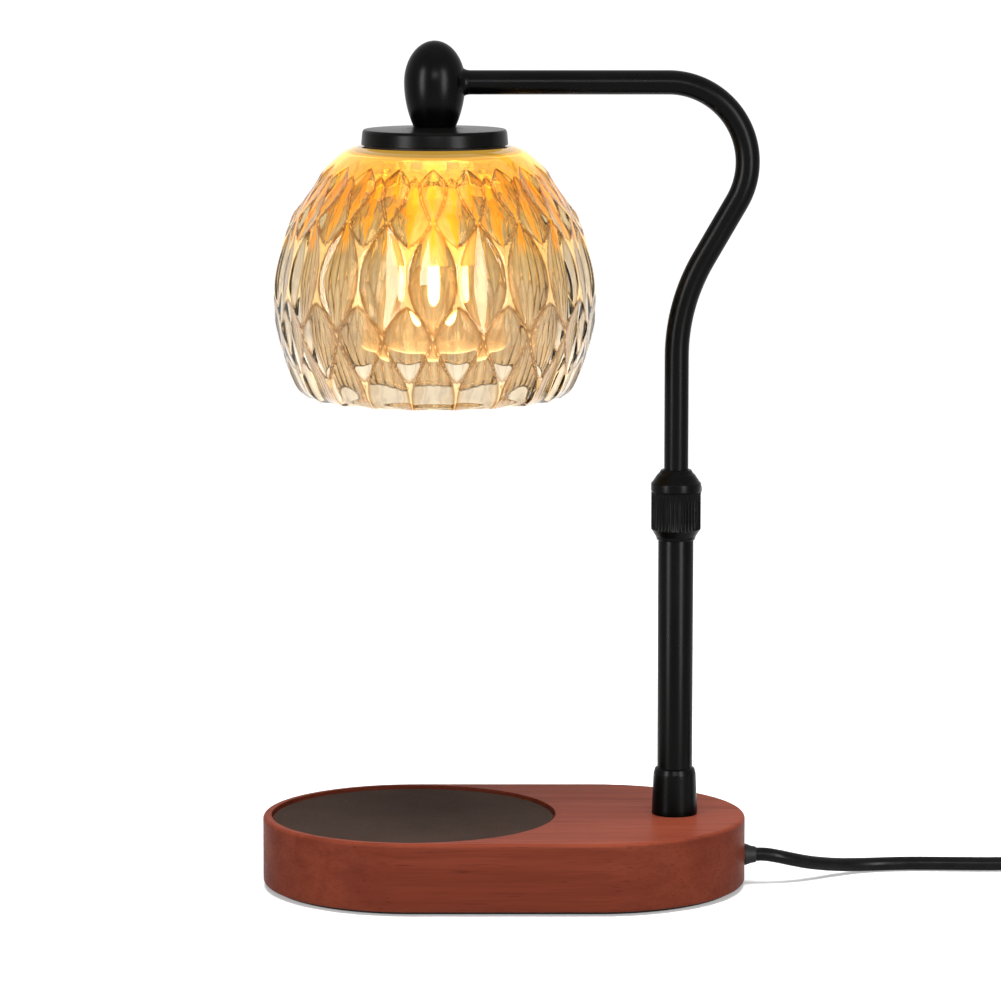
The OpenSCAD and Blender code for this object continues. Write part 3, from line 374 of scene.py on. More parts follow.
def wood_look():
    """Stained wood, its grain along X."""
    look = Look("stained_wood", Specular_IOR_Level=0.01)
    long_way = look.stretched((5, 110, 110))
    bands = look.noise(1.0, 5, 0.6, long_way, warp=0.3)
    figure = look.noise(0.3, 3, 0.5, long_way)
    fibres = look.noise(1.0, 4, 0.6, look.stretched((28, 1000, 1000)))
    pores = look.noise(1.0, 2, 0.5, look.stretched((60, 1700, 1700)))
    ground = look.ramp(
        bands, (0.28, (0.115, 0.0235, 0.012)), (0.45, (0.150, 0.0325, 0.0175)),
        (0.6, (0.178, 0.040, 0.021)), (0.78, (0.126, 0.026, 0.0135)),
    )
    broad = look.spread(figure, 0.0, 0.55, 0.35, 0.7)
    shaded = look.blend(broad, ground, (0.095, 0.019, 0.010, 1))
    fine = look.spread(fibres, 0.0, 0.4, 0.48, 0.75)
    streaked = look.blend(fine, shaded, (0.062, 0.013, 0.0075, 1))
    holes = look.math("MULTIPLY", look.spread(pores, 0.0, 1.0, 0.64, 0.74), 0.5)
    relief = look.math("SUBTRACT", look.math("MULTIPLY", fibres, 0.6), holes)
    return look.set(
        Base_Color=look.blend(holes, streaked, (0.03, 0.007, 0.005, 1)),
        Roughness=look.spread(fibres, 0.34, 0.48, 0.3, 0.7),
        Normal=look.bump(relief, 0.22, 0.00006),
    )


def coat_look():
    """Satin black powder coat with a fine orange peel."""
    look = Look("satin_black_coat", Specular_IOR_Level=0.05)
    peel = look.noise(1600, 2, 0.4)
    cloud = look.noise(25, 3)
    return look.set(
        Base_Color=look.ramp(
            cloud, (0.3, (0.0008, 0.0008, 0.0008)), (0.7, (0.0016, 0.0016, 0.0015))
        ),
        Roughness=look.spread(cloud, 0.25, 0.31, 0.3, 0.7),
        Normal=look.bump(peel, 0.25, 0.000012),
    )


def pad_look():
    """Dark brown felt-like foam on the recess's floor."""
    look = Look("recess_pad", Roughness=0.93, Specular_IOR_Level=0.06)
    grain = look.noise(1700, 3, 0.6)
    cloud = look.noise(45, 4)
    spots = look.node("TexVoronoi", {"Vector": look.place, "Scale": 1100.0}).outputs["Distance"]
    return look.set(
        Base_Color=look.blend(
            look.spread(grain, 0, 0.6, 0.35, 0.7),
            look.ramp(cloud, (0.3, (0.029, 0.0185, 0.014)), (0.75, (0.039, 0.025, 0.020))),
            (0.016, 0.010, 0.008, 1),
        ),
        Normal=look.bump(look.math("ADD", grain, spots), 0.5, 0.00012),
    )


def rubber_look(name, rough, colour, shine):
    """Smooth black cord jacket or soft grip, with faint scuffs."""
    look = Look(name, Specular_IOR_Level=shine)
    cloud = look.noise(130, 4)
    fine = look.noise(2600, 2)
    return look.set(
        Base_Color=look.ramp(cloud, (0.3, (colour * 0.8,) * 3), (0.75, (colour * 1.5,) * 3)),
        Roughness=look.spread(cloud, rough - 0.06, rough + 0.1, 0.3, 0.7),
        Normal=look.bump(fine, 0.3, 0.00001),
    )


def foam_look():
    """Black foam with fine cells."""
    look = Look("foam_foot", Roughness=0.95, Specular_IOR_Level=0.2)
    cells = look.node("TexVoronoi", {"Vector": look.place, "Scale": 1400.0}).outputs["Distance"]
    return look.set(
        Base_Color=look.ramp(cells, (0.05, (0.008, 0.008, 0.008)), (0.6, (0.026, 0.026, 0.025))),
        Normal=look.bump(cells, 0.8, 0.00015),
    )


def glass_look():
    """Pressed glass with painted light: amber glow from above, glowing pale ridge lines, painted
    brown shade at lens outlines, streaked lenses.
    """
    look = Look(
        "cut_glass_painted_light", Roughness=0.03, IOR=1.5, Transmission_Weight=1.0, Emission_Strength=1.0,
        Specular_Tint=(0.42, 0.37, 0.29, 1),
    )
    inside = look.node("Attribute", attribute_name="inside").outputs["Fac"]
    across = look.node("Attribute", attribute_name="across").outputs["Fac"]
    height = look.spread(look.axis("Z"), 0, 1, GLASS_FOOT * MM, GLASS_TOP * MM)
    streaks = look.noise(1.0, 3, 0.5, look.stretched((260, 260, 28)))
    # painted grey shade, patchy at random across the glass
    painted_shade_patches = look.noise(75, 2)
    uneven = look.math("ADD", across, look.spread(streaks, -0.25, 0.25, 0.3, 0.7))
    # painted light and shade across each lens: pale middles and darker rings
    lens = look.ramp(
        uneven, (0.0, (0.92, 0.90, 0.83)), (0.22, (0.88, 0.83, 0.73)), (0.36, (0.61, 0.57, 0.53)),
        (0.52, (0.86, 0.77, 0.64)), (0.70, (0.60, 0.51, 0.41)), (0.9, (0.82, 0.68, 0.48)),
    )
    # painted pale glow at the ridge lines and painted brown shade just inside the lens outlines
    outline = look.ramp(
        inside, (0.0, (0.98, 0.86, 0.60)), (0.05, (0.98, 0.78, 0.46)), (0.11, (0.36, 0.19, 0.08)),
        (0.19, (0.62, 0.42, 0.24)), (0.34, (1.0, 1.0, 1.0)),
    )
    # painted amber glow of the bulb, stronger towards the top
    painted_bulb_glow_tint = look.ramp(
        height, (0.0, (1.0, 0.91, 0.78)), (0.35, (1.0, 0.94, 0.84)), (0.7, (1.0, 0.88, 0.58)),
        (0.92, (1.0, 0.70, 0.20)),
    )
    # painted glow of the ridge lines in the emission, by height
    glow = look.ramp(
        height, (0.0, (0.42, 0.31, 0.15)), (0.5, (0.50, 0.37, 0.16)), (0.72, (0.50, 0.31, 0.08)),
        (0.88, (0.48, 0.26, 0.03)), (1.0, (0.50, 0.28, 0.04)),
    )
    painted_ridge_glow = look.blend(look.spread(inside, 1.0, 0.0, 0.02, 0.09), (0, 0, 0, 1), glow)
    # painted orange streaks at the middles of the upper lenses: a painted reflection of the lit
    # lampholder
    painted_rows_mask = look.ramp(
        height, (0.60, (0, 0, 0)), (0.66, (1, 1, 1)), (0.86, (1, 1, 1)), (0.93, (0, 0, 0)),
    )
    painted_strip = look.math("MULTIPLY", look.spread(uneven, 1.0, 0.0, 0.16, 0.26), painted_rows_mask)
    painted_glass_light = look.blend(1.0, look.blend(1.0, lens, outline, "MULTIPLY"), painted_bulb_glow_tint, "MULTIPLY")
    with_painted_shade_patches = look.blend(look.spread(painted_shade_patches, 0.0, 0.35, 0.5, 0.7), painted_glass_light, (0.52, 0.43, 0.37, 1))
    # painted orange in the base colour and painted glow in the emission
    return look.set(
        Base_Color=look.blend(painted_strip, with_painted_shade_patches, (0.92, 0.34, 0.025, 1)),
        Emission_Color=look.blend(painted_strip, painted_ridge_glow, (0.38, 0.13, 0.0, 1)),
    )


def glow_look(name, low, high, foot, top):
    """Emission for a piece by the bulb: the capsule's own light, or painted glow on the ceramic it
    lights. It goes from low at height foot to high at height top.
    """
    look = Look(name, Roughness=0.3, Base_Color=(0.8, 0.7, 0.5, 1), Emission_Strength=1.0)
    clouds = look.spread(look.noise(220, 3), 0, 0.3, 0.4, 0.7)
    height = look.spread(look.axis("Z"), 0, 1, foot * MM, top * MM)
    glow = look.ramp(height, (0.0, low), (1.0, high))
    return look.set(Emission_Color=look.blend(clouds, glow, (0.5, 0.22, 0.04, 1)))


def bulb_glass_look(name, tint, painted_glow_all_over, painted_face_glow=(0, 0, 0)):
    """The bulb's glass: clear, with a faint painted glow all over and a brighter painted glow where
    it faces down.
    """
    look = Look(name, Roughness=0.12, IOR=1.3, Transmission_Weight=1.0, Emission_Strength=1.0)
    cloud = look.noise(160, 3)
    normal = look.node("TexCoord").outputs["Normal"]
    up = look.node("SeparateXYZ", {"Vector": normal}).outputs["Z"]
    down = look.spread(up, 1.0, 0.0, -0.95, -0.6)
    return look.set(
        Base_Color=look.ramp(cloud, (0.3, tint), (0.7, tuple(0.9 * c for c in tint))),
        Emission_Color=look.blend(down, (*painted_glow_all_over, 1), (*painted_face_glow, 1)),
    )


# Levels and places that part.scad has too: the base and its pocket from below,
END_X, BASE_R, BASE_TOP, COVER_Z = 31, 51.5, 24.4, 1
RECESS_R, RECESS_FLOOR, PAD_R, PAD_TOP = 48.6, 22.4, 48, 23.2
POCKET_R, COVER_R, POCKET_TOP, POCKET_Z = 39, 45.2, 13.4, 3
# the post, the arm and the shade's axis,
POST_X, POST_R, POST_BORE_R, POST_TOP, SCREW_Z = 58.4, 6, 5, 129, 134.5
SHADE_X, ARM_H, ARM_R, ARM_BORE_R, ARM_FOOT = -23.3, 274.2, 4.1, 3.3, 66.6
# the cord and where it leaves the base,
CORD_Z, CORD_D, EXIT_Z = 2.35, 4.7, 10
# the glass and its cuts,
GLASS_TOP, GLASS_H, GLASS_R, GLASS_WALL, CUT_DEPTH, CUTS = 252.8, 84.3, 54.6, 3.2, 1.7, 20
GLASS_FOOT, GLASS_HOLE_R = GLASS_TOP - GLASS_H, 15
# and the bulb
BULB_FACE, BULB_RIM, BULB_R = 184.5, 185.9, 25
CAPSULE_FOOT, CAPSULE_TOP, CERAMIC_FOOT, CERAMIC_TOP = 196, 216, 214, 241

WOOD = wood_look()
COAT = coat_look()
PAD = pad_look()
FOAM = foam_look()
JACKET = rubber_look("cord_jacket", rough=0.25, colour=0.0025, shine=0.07)
GRIP = rubber_look("soft_grip", rough=0.5, colour=0.006, shine=0.15)
SHELL = plain_look(
    "black_shell", (0.008, 0.008, 0.0085), (0.014, 0.014, 0.014), 0.44,
    grain=1500, depth=0.00003, shine=0.2,
)
KNOB = plain_look(
    "knob_plastic", (0.010, 0.010, 0.010), (0.017, 0.017, 0.017), 0.36, grain=1200, shine=0.3
)
GLASS = glass_look()
# the bulb's glasses, each with a faint painted glow; the face's is brighter where it faces down
REFLECTOR = bulb_glass_look("reflector_glass", (1.0, 0.94, 0.84), (0.05, 0.03, 0.01))
LENS = bulb_glass_look("lens_glass", (1.0, 0.92, 0.78), (0.05, 0.03, 0.01), (0.65, 0.5, 0.3))
CAPSULE = glow_look("capsule_glow", (7.0, 5.6, 3.4), (7.0, 5.2, 2.8), CAPSULE_FOOT, CAPSULE_TOP)
# painted orange glow on the lampholder and bulb base, which the capsule lights
CERAMIC_PAINTED_GLOW = glow_look(
    "ceramic_painted_glow", (0.42, 0.17, 0.02), (0.18, 0.07, 0.008), CERAMIC_FOOT, CERAMIC_TOP
)
ZINC = plain_look("zinc_plate", (0.5, 0.51, 0.52), (0.66, 0.66, 0.65), 0.34, metal=1.0)
STEEL = plain_look(
    "rolled_steel", (0.26, 0.27, 0.28), (0.38, 0.39, 0.4), 0.42, metal=1.0, grain=400
)
BRASS = plain_look("drawn_brass", (0.62, 0.44, 0.2), (0.76, 0.57, 0.3), 0.3, metal=1.0)
NYLON = plain_look("nylon", (0.6, 0.58, 0.51), (0.7, 0.68, 0.61), 0.45)
BOARD = plain_look("circuit_board", (0.02, 0.11, 0.04), (0.05, 0.19, 0.08), 0.4)
COVER = plain_look(
    "cover_plastic", (0.03, 0.03, 0.03), (0.05, 0.05, 0.05), 0.55, grain=1300, depth=0.00004
)

# ------------------------------------------------------------------ cords

# Points on the centre of the cord: from the base to the dimmer,
LAMP_ROUTE = [
    (86.5, 0, 10), (89.5, 0, 10), (94, 0.5, 9.2), (99.5, 2.6, 7.6), (105.5, 6.2, 5.8),
    (111.5, 10.6, 4.3), (117.5, 14.6, 3.2), (123.5, 17.6, 2.6), (129.5, 19.4, 2.35),
    (136, 20.3, 2.35), (142.5, 20.7, 2.35), (152, 20.5, 2.35), (162, 20.1, 2.35),
    (171, 20, 2.35), (175, 20, 2.65), (178.5, 20, 3.4), (182, 20, 4.68), (185.5, 20, 5.95),
    (189, 20, 6.7), (193, 20, 7), (196, 20, 7),
]
# from the dimmer to the coil,
LINK_ROUTE = [
    (274, 20, 7), (277, 20, 7), (280.4, 20.4, 6.7), (284.8, 21.9, 5.7), (289, 24.5, 4.5),
    (292.9, 28, 3.4), (296.3, 32.3, 2.65), (299.1, 37.2, 2.35), (301, 42.6, 2.35),
    (302.1, 48.6, 2.35), (302.2, 53.2, 2.35), (302.2, 57.6, 2.35), (302.2, 62, 2.35),
]
# and from the coil to the plug
TAIL_ROUTE = [
    (302.2, 72, 17.95), (302.2, 75, 18.05), (302.2, 78, 18.3), (302.1, 81.5, 18.75),
    (301.6, 85.4, 19.4), (299.9, 89.6, 20.1), (297.2, 93.1, 20.9), (293.7, 95.8, 21.8),
    (289.5, 97.5, 22.75), (285.1, 98.1, 23.65), (280.7, 97.5, 24.5), (276.6, 95.8, 25.3),
    (273, 93.1, 26), (270.3, 89.6, 26.5), (268.6, 85.4, 26.8), (268, 81.5, 26.8),
    (268, 79.2, 26.8), (268, 77, 26.8),
]
COIL_X, COIL_Y, COIL_R, COIL_PITCH = 271, 67, 31.2, 5.2
COIL_LAYERS, TURNS_PER_LAYER = 4, 2


def coil_point(turns):
    """Centre of the cord in the coil: it spirals in and out, and climbs where it turns back."""
    way = turns / TURNS_PER_LAYER % 2
    inward = way if way < 1 else 2 - way
    k = min(max(round(turns / TURNS_PER_LAYER), 1), COIL_LAYERS - 1)
    level = k - 1 + min(max((turns - k * TURNS_PER_LAYER) * 2 + 0.5, 0), 1)
    r, a = COIL_R - COIL_PITCH * TURNS_PER_LAYER * inward, 2 * math.pi * turns
    return (COIL_X + r * math.cos(a), COIL_Y + r * math.sin(a), CORD_Z + COIL_PITCH * level)


PER_TURN = 48
coil_line = [coil_point(i / PER_TURN) for i in range(COIL_LAYERS * TURNS_PER_LAYER * PER_TURN + 1)]
lamp_line = smoothed(LAMP_ROUTE)
mains_line = smoothed(LINK_ROUTE) + coil_line + smoothed(TAIL_ROUTE)
lamp_flex = piece(
    "lamp_flex", sweep(lamp_line, CORD_D / 2, 24), "base", JACKET, ("lamp_cord",),
)
mains_flex = piece(
    "mains_flex", sweep(mains_line, CORD_D / 2, 16), "base", JACKET,
    ("link_cord", "cord_coil", "tail_cord"),
)


def ribbed_sleeve(start, end, fat, thin, grooves):
    """Tapered strain relief from start to end, parted by grooves."""
    place, length = placed(start, end)
    profile = [(0, 0), (fat / 2, 0)]
    pitch = length / (grooves + 0.6)
    for k in range(grooves):
        at = (k + 0.35) * pitch
        for step, share in ((0, 1), (0.12, 0.86), (0.34, 0.86), (0.46, 1)):
            z = at + step * pitch
            profile.append((share * (fat + (thin - fat) * z / length) / 2, z))
    profile += [(thin / 2, length - 0.3), (thin / 2 - 0.25, length), (0, length)]
    return lathe(profile, sides=48, place=place)


ALONG_X = Matrix.Rotation(math.pi / 2, 4, "Y")  # lays a lathe's axis along +X

# Strain relief of the base: a plain stem in the wood, a collar at its mouth and a short taper
piece(
    "cord_gland",
    lathe(
        rounded([
            (0, 62.9), (3.25, 62.9), (3.25, 70), (3.75, 70), (3.75, 82.5), (3.72, 82.9, 0.2),
            (3.05, 84.6, 1.5), (2.75, 86.2, 0.4), (2.55, 86.5), (0, 86.5),
        ]),
        sides=48, place=Matrix.Translation((0, 0, EXIT_Z)) @ ALONG_X,
    ),
    "base", GRIP, ("cord_sleeve",),
)

# ------------------------------------------------------------------ dimmer and plug

SWITCH_X, SWITCH_Y, SWITCH_L, SWITCH_W, SWITCH_CORNER = 235, 20, 52, 28, 6
# level of the cord in it, and where its sleeves start and end from its middle
SWITCH_CORD_Z, SLEEVE_START, SLEEVE_END = 7, 25.5, 39


def round_rect(cx, cy, length, width, radius, z, steps=10):
    """Outline of a rectangle with round corners, at height z."""
    line = []
    for quarter, (sx, sy) in enumerate(((1, 1), (-1, 1), (-1, -1), (1, -1))):
        ox, oy = cx + sx * (length / 2 - radius), cy + sy * (width / 2 - radius)
        for k in range(steps + 1):
            a = math.radians(90 * quarter + 90 * k / steps)
            line.append((ox + radius * math.cos(a), oy + radius * math.sin(a), z))
    return line


def block(cx, cy, length, width, corner, profile):
    """A block with round corners: profile gives (inset, z) from its foot to its top."""
    return stack([
        round_rect(cx, cy, length - 2 * inset, width - 2 * inset, max(corner - inset, 0.3), z)
        for inset, z in profile
    ])


lower = block(
    SWITCH_X, SWITCH_Y, SWITCH_L, SWITCH_W, SWITCH_CORNER,
    rounded([(2.4, 0), (1.2, 0, 0.8), (0, 1.4, 1.2), (0, 7.1, 0.25), (0.35, 7.45)]),
)
upper = block(
    SWITCH_X, SWITCH_Y, SWITCH_L, SWITCH_W, SWITCH_CORNER,
    rounded([
        (0.35, 7.5), (0, 7.85, 0.25), (0.15, 15.2, 1.6), (1.5, 16.9, 1.2), (4.5, 17), (5.2, 17),
        (5.4, 16.75), (5.8, 16.75), (6.0, 17), (8, 17),
    ]),
)
shell_lower = piece(
    "dimmer_shell_lower", lower, "base", SHELL, ("switch_lower",), sharp=30,
)
shell_upper = piece(
    "dimmer_shell_upper", upper, "base", SHELL, ("switch_upper",), sharp=30,
)
sleeves = piece(
    "dimmer_sleeves",
    merged(*(
        ribbed_sleeve(
            (SWITCH_X + side * SLEEVE_START, SWITCH_Y, SWITCH_CORD_Z),
            (SWITCH_X + side * SLEEVE_END, SWITCH_Y, SWITCH_CORD_Z), 7.4, 5.5, 4,
        )
        for side in (-1, 1)
    )),
    "base", GRIP, ("switch_sleeves",),
)
knob_line = [
    (0, 14), (2.9, 14), (2.9, 17.45), (10.2, 17.45), (10.45, 17.7), (10.5, 18.4), (10.5, 19.4),
    (10.5, 20.4), (10.45, 21.1), (10.2, 21.7), (9.7, 22.1), (8.6, 22.2), (8.2, 22.0), (3, 21.85),
    (0, 21.85),
]
knob = piece(
    "dimmer_dial",
    merged(
        lathe(
            knob_line, at=(SWITCH_X, SWITCH_Y), sides=360,
            radius_at=ribs(30, 0.5, 17.6, 21.6, 0.8, 9.5),
        ),
        # the pointer on its top
        block(SWITCH_X + 7, SWITCH_Y, 3.4, 1.2, 0.6, [(0, 21.5), (0, 22.25), (0.15, 22.38)]),
    ),
    "dimmer", KNOB, ("dimmer_knob",), sharp=30,
)

PLUG_X, PLUG_Y, PLUG_Z = 268, 77, 26.8


def plug_ring(back, height, width, corner):
    """Outline across the plug, back millimetres before its cord end."""
    flat = round_rect(0, 0, width, height, corner, 0)
    return [(PLUG_X + x, PLUG_Y - back, PLUG_Z + y) for x, y, z in flat]


plug_body = piece(
    "plug_grip",
    stack([
        plug_ring(back, height, width, corner)
        for back, height, width, corner in (
            (46, 11.6, 22.6, 4.4), (45.7, 12.4, 23.4, 4.8), (45, 12.9, 23.9, 5), (43.5, 13, 24, 5),
            (39, 13, 24, 5), (36, 12.85, 23.8, 5), (35, 12.6, 22.6, 5), (33, 12.6, 22.6, 5),
            (32, 12.8, 21.9, 5), (31, 12.5, 20.6, 5), (29, 12.5, 20.2, 5),
            (28, 12.5, 19.6, 5), (27, 12.1, 18.4, 5), (25, 12, 17.7, 5),
            (22.5, 11.5, 15.6, 4.6), (20.8, 11, 14.2, 4.2), (20.2, 10.4, 13.4, 4),
            (20, 9.8, 12.6, 3.8),
        )
    ]),
    "base", SHELL, ("plug_body",), sharp=50,
)
plug_boot = piece(
    "plug_boot",
    ribbed_sleeve((PLUG_X, PLUG_Y - 20.2, PLUG_Z), (PLUG_X, PLUG_Y, PLUG_Z), 9, 5.5, 5),
    "base", GRIP, ("plug_sleeve",),
)

# ------------------------------------------------------------------ wooden base

RAYS = 480  # even rays from the recess's centre, which cut every outline of the base


def stadium_ring(radius, z):
    """Outline of the oval at a radius about its end centres."""
    line = []
    for k in range(RAYS):
        a = 2 * math.pi * k / RAYS
        c, s = math.cos(a), math.sin(a)
        far = radius
        if c > 1e-9:
            # the ray meets the straight side, or runs beyond it
            far = radius / abs(s) if abs(s) > 1e-9 else math.inf
            if far * c > 2 * END_X:
                # the ray meets the round end: |p - (2 END_X, 0)| = radius
                half = 2 * END_X * c
                far = half + math.sqrt(max(radius ** 2 - (2 * END_X * s) ** 2, 0))
        line.append((-END_X + far * c, far * s, z))
    return line


def recess_ring(radius, z):
    """Circle about the recess's centre."""
    turns = [2 * math.pi * k / RAYS for k in range(RAYS)]
    return [(-END_X + radius * math.cos(a), radius * math.sin(a), z) for a in turns]


outer = rounded([
    (45.5, COVER_Z), (BASE_R, COVER_Z, 1.6), (BASE_R, BASE_TOP, 2.2), (BASE_R - 2.6, BASE_TOP),
], steps=9)
mouth = rounded([
    (RECESS_R + 0.25, BASE_TOP), (RECESS_R, BASE_TOP, 0.35), (RECESS_R, RECESS_FLOOR),
    (40, RECESS_FLOOR),
], steps=4)
pocket = [(POCKET_R, POCKET_TOP), (POCKET_R, POCKET_Z), (COVER_R, POCKET_Z), (COVER_R, COVER_Z)]
wood_rings = (
    [stadium_ring(r, z) for r, z in pocket]
    + [stadium_ring(r, z) for r, z in outer]
    + [recess_ring(r, z) for r, z in mouth]
)
wood = piece(
    "wooden_base",
    stack(wood_rings, centre_first=(-END_X, 0, POCKET_TOP), centre_last=(-END_X, 0, RECESS_FLOOR)),
    "base", WOOD, ("base_body",), sharp=32,
)
# for the stud, for its nut and washer, and for the cord
bored(
    wood,
    ((POST_X, 0, 12), (POST_X, 0, 26), 5.15),
    ((POST_X, 0, 12), (POST_X, 0, 19.4), 9),
    ((60, 0, EXIT_Z), (90, 0, EXIT_Z), 3.8),
)

pad_line = rounded([
    (0, RECESS_FLOOR), (PAD_R, RECESS_FLOOR), (PAD_R, PAD_TOP, 0.3), (46.5, PAD_TOP),
    (30, PAD_TOP), (0, PAD_TOP),
])
recess_pad = piece(
    "recess_lining", lathe(pad_line, at=(-END_X, 0), sides=240),
    "base", PAD, ("candle_pad",),
)
foot_line = rounded([
    (48.0, 0), (48.5, 0, 0.25), (48.5, COVER_Z, 0.2), (48.2, COVER_Z),
], steps=3)
foot = piece(
    "foam_foot_pad",
    stack(
        [stadium_ring(r, z) for r, z in foot_line],
        centre_first=(-END_X, 0, 0), centre_last=(-END_X, 0, COVER_Z),
    ),
    "base", FOAM, ("underside_pad",),
)

# ------------------------------------------------------------------ post and collar

ferrule_line = rounded([
    (6.05, BASE_TOP), (7.45, BASE_TOP), (7.75, 24.7, 0.2), (7.75, 26.3, 2), (7.32, 37.4, 3),
    (7.25, 38.6, 0.8), (6.75, 40.3, 0.7), (6.3, 40.6, 0.2), (6.05, 40.5),
], closed=True)
piece(
    "foot_ferrule", lathe(ferrule_line, at=(POST_X, 0)),
    "base", COAT, ("post_ferrule",),
)
post_line = rounded([
    (POST_BORE_R, BASE_TOP), (POST_R, BASE_TOP), (POST_R, POST_TOP, 0.3),
    (POST_BORE_R, POST_TOP, 0.3),
], steps=3, closed=True)
piece(
    "lower_post", lathe(post_line, at=(POST_X, 0)),
    "base", COAT, ("post_tube",),
)

KNURLS, SCREW_RIBS = 44, 22
collar_line = rounded([
    (6.05, 119.2), (6.35, 119.2), (6.5, 119.4, 0.2), (6.8, 120.4, 0.6), (8.1, 122.5, 0.6),
    (8.35, 122.8), (8.42, 123.4), (8.42, 126), (8.42, 129), (8.42, 132), (8.42, 135.3),
    (8.42, 135.6), (8.25, 135.75), (8.3, 135.95), (8.5, 136.1), (8.5, 138.6, 0.4),
    (7.95, 139.2, 0.5), (6.4, 141.5, 1.2), (5.75, 142.1, 0.5), (5.1, 143.2, 0.4), (4.6, 143.2),
    (4.3, 143), (4.3, 141), (5.3, 141), (5.3, POST_TOP), (6.05, POST_TOP),
], steps=3, closed=True)
piece(
    "locking_collar",
    lathe(
        collar_line, at=(POST_X, 0), sides=KNURLS * 8,
        radius_at=ribs(KNURLS, 0.3, 122.9, 135.7, 0.5, 8),
    ),
    "base", COAT, ("height_collar",), sharp=34,
)

SCREW_TURN = math.radians(70)  # towards the back from +X
screw_foot = Matrix.Translation((POST_X, 0, SCREW_Z))
screw_place = screw_foot @ Matrix.Rotation(SCREW_TURN, 4, "Z") @ ALONG_X
screw_line = [
    (0, 5.65), (1.7, 5.65), (2.0, 6), (2.0, 9.4), (2.8, 9.45), (3.3, 9.8), (3.85, 10.15),
    (4.0, 10.4), (4.0, 12), (4.0, 13.5), (4.0, 15), (4.0, 16.4), (3.85, 16.85), (3.4, 17.3),
    (2.6, 17.4), (0, 17.35),
]
piece(
    "thumb_screw",
    lathe(
        screw_line, sides=SCREW_RIBS * 8, place=screw_place,
        radius_at=ribs(SCREW_RIBS, 0.32, 10.3, 16.6, 0.5, 3.5),
    ),
    "thumbscrew", COAT, ("lock_screw",), sharp=34,
)

# ------------------------------------------------------------------ arm, finial and cap

# The arm leans out by LEAN degrees round a bend of LEAN_R, runs straight for LEAN_RUN
# and turns over to the shade round a bend of CROOK_R
LEAN_R, LEAN, LEAN_RUN, CROOK_R = 66, 30, 22.2, 26.8
lean_sin, lean_cos = math.sin(math.radians(LEAN)), math.cos(math.radians(LEAN))
bend_z = ARM_H - (LEAN_R * lean_sin + LEAN_RUN * lean_cos + CROOK_R * (1 + lean_sin))
lean_end = (POST_X + LEAN_R * (1 - lean_cos), bend_z + LEAN_R * lean_sin)
crook_start = (lean_end[0] + LEAN_RUN * lean_sin, lean_end[1] + LEAN_RUN * lean_cos)
crook_centre = (crook_start[0] - CROOK_R * lean_cos, crook_start[1] + CROOK_R * lean_sin)
arm_line = (
    [(POST_X, 0, ARM_FOOT), (POST_X, 0, 100), (POST_X, 0, 140), (POST_X, 0, 165)]
    + arc_points((POST_X + LEAN_R, bend_z), LEAN_R, 180, 180 - LEAN, 16)
    + arc_points(crook_centre, CROOK_R, -LEAN, 90, 44)
    + [(35, 0, ARM_H), (10, 0, ARM_H), (-18.2, 0, ARM_H)]
)
piece(
    "bent_arm", sweep(arm_line, ARM_R, 48, bore=ARM_BORE_R),
    "arm", COAT, ("arm_tube",),
)

EGG_R, EGG_TOP, EGG_FOOT, EGG_FOOT_R = 10.3, 14, 14.8, 7.1
egg_side_r = (EGG_FOOT ** 2 + (EGG_R - EGG_FOOT_R) ** 2) / (2 * (EGG_R - EGG_FOOT_R))
egg_side = [
    (EGG_R - egg_side_r + math.sqrt(egg_side_r ** 2 - z * z), ARM_H + z)
    for z in (-EGG_FOOT * (1 - i / 20) for i in range(20))
]
egg_dome = [
    (EGG_R * math.cos(a), ARM_H + EGG_TOP * math.sin(a))
    for a in (math.pi / 2 * i / 36 for i in range(36))
]
egg_line = [(0, ARM_H - EGG_FOOT)] + egg_side + egg_dome + [(0, ARM_H + EGG_TOP)]
# the egg's flared neck on the arm
neck_flare = [(4.15 + 2.5 * (1 - t) ** 2.2, 8.1 + 3.5 * t) for t in (i / 10 for i in range(11))]
neck_line = [(0, 5)] + neck_flare + [(ARM_R, 11.65), (0, 11.65)]
neck_place = Matrix.Translation((SHADE_X, 0, ARM_H)) @ ALONG_X
piece(
    "egg_finial",
    merged(
        lathe(egg_line, at=(SHADE_X, 0), sides=128),
        lathe(neck_line, sides=72, place=neck_place),
    ),
    "arm", COAT, ("finial",),
)

cap_line = rounded([
    (5.2, 253.3), (17.4, 253.3), (17.4, 257.3), (23, 257.3), (23.4, 253.6), (23.8, 253.3, 0.2),
    (24.75, 253.35, 0.25), (24.7, 254, 0.3), (24.4, 257.6, 2), (23.9, 258.5, 0.6), (16, 258.62, 8),
    (10.2, 258.95, 2), (7.9, 259.4, 0.6), (5.2, 259.4),
], closed=True)
piece(
    "shade_cap_disc", lathe(cap_line, at=(SHADE_X, 0), sides=160),
    "arm", COAT, ("shade_cap",),
)

# ------------------------------------------------------------------ glass

# the bulge of the glass from its top: shares of its radius and of its height
GLASS_LINE = [
    [0.486, 0], [0.575, 0.027], [0.72, 0.118], [0.872, 0.262], [0.975, 0.455],
    [1, 0.59], [0.976, 0.768], [0.91, 0.892], [0.856, 0.965], [0.79, 1],
]
# rows of lenses: turn in lenses, then the middle and half the height as shares of the glass's
CUT_ROWS = [
    [0, 0.165, 0.105], [0.5, 0.227, 0.136], [0, 0.48, 0.224], [0.5, 0.735, 0.16], [0, 0.985, 0.28],
]


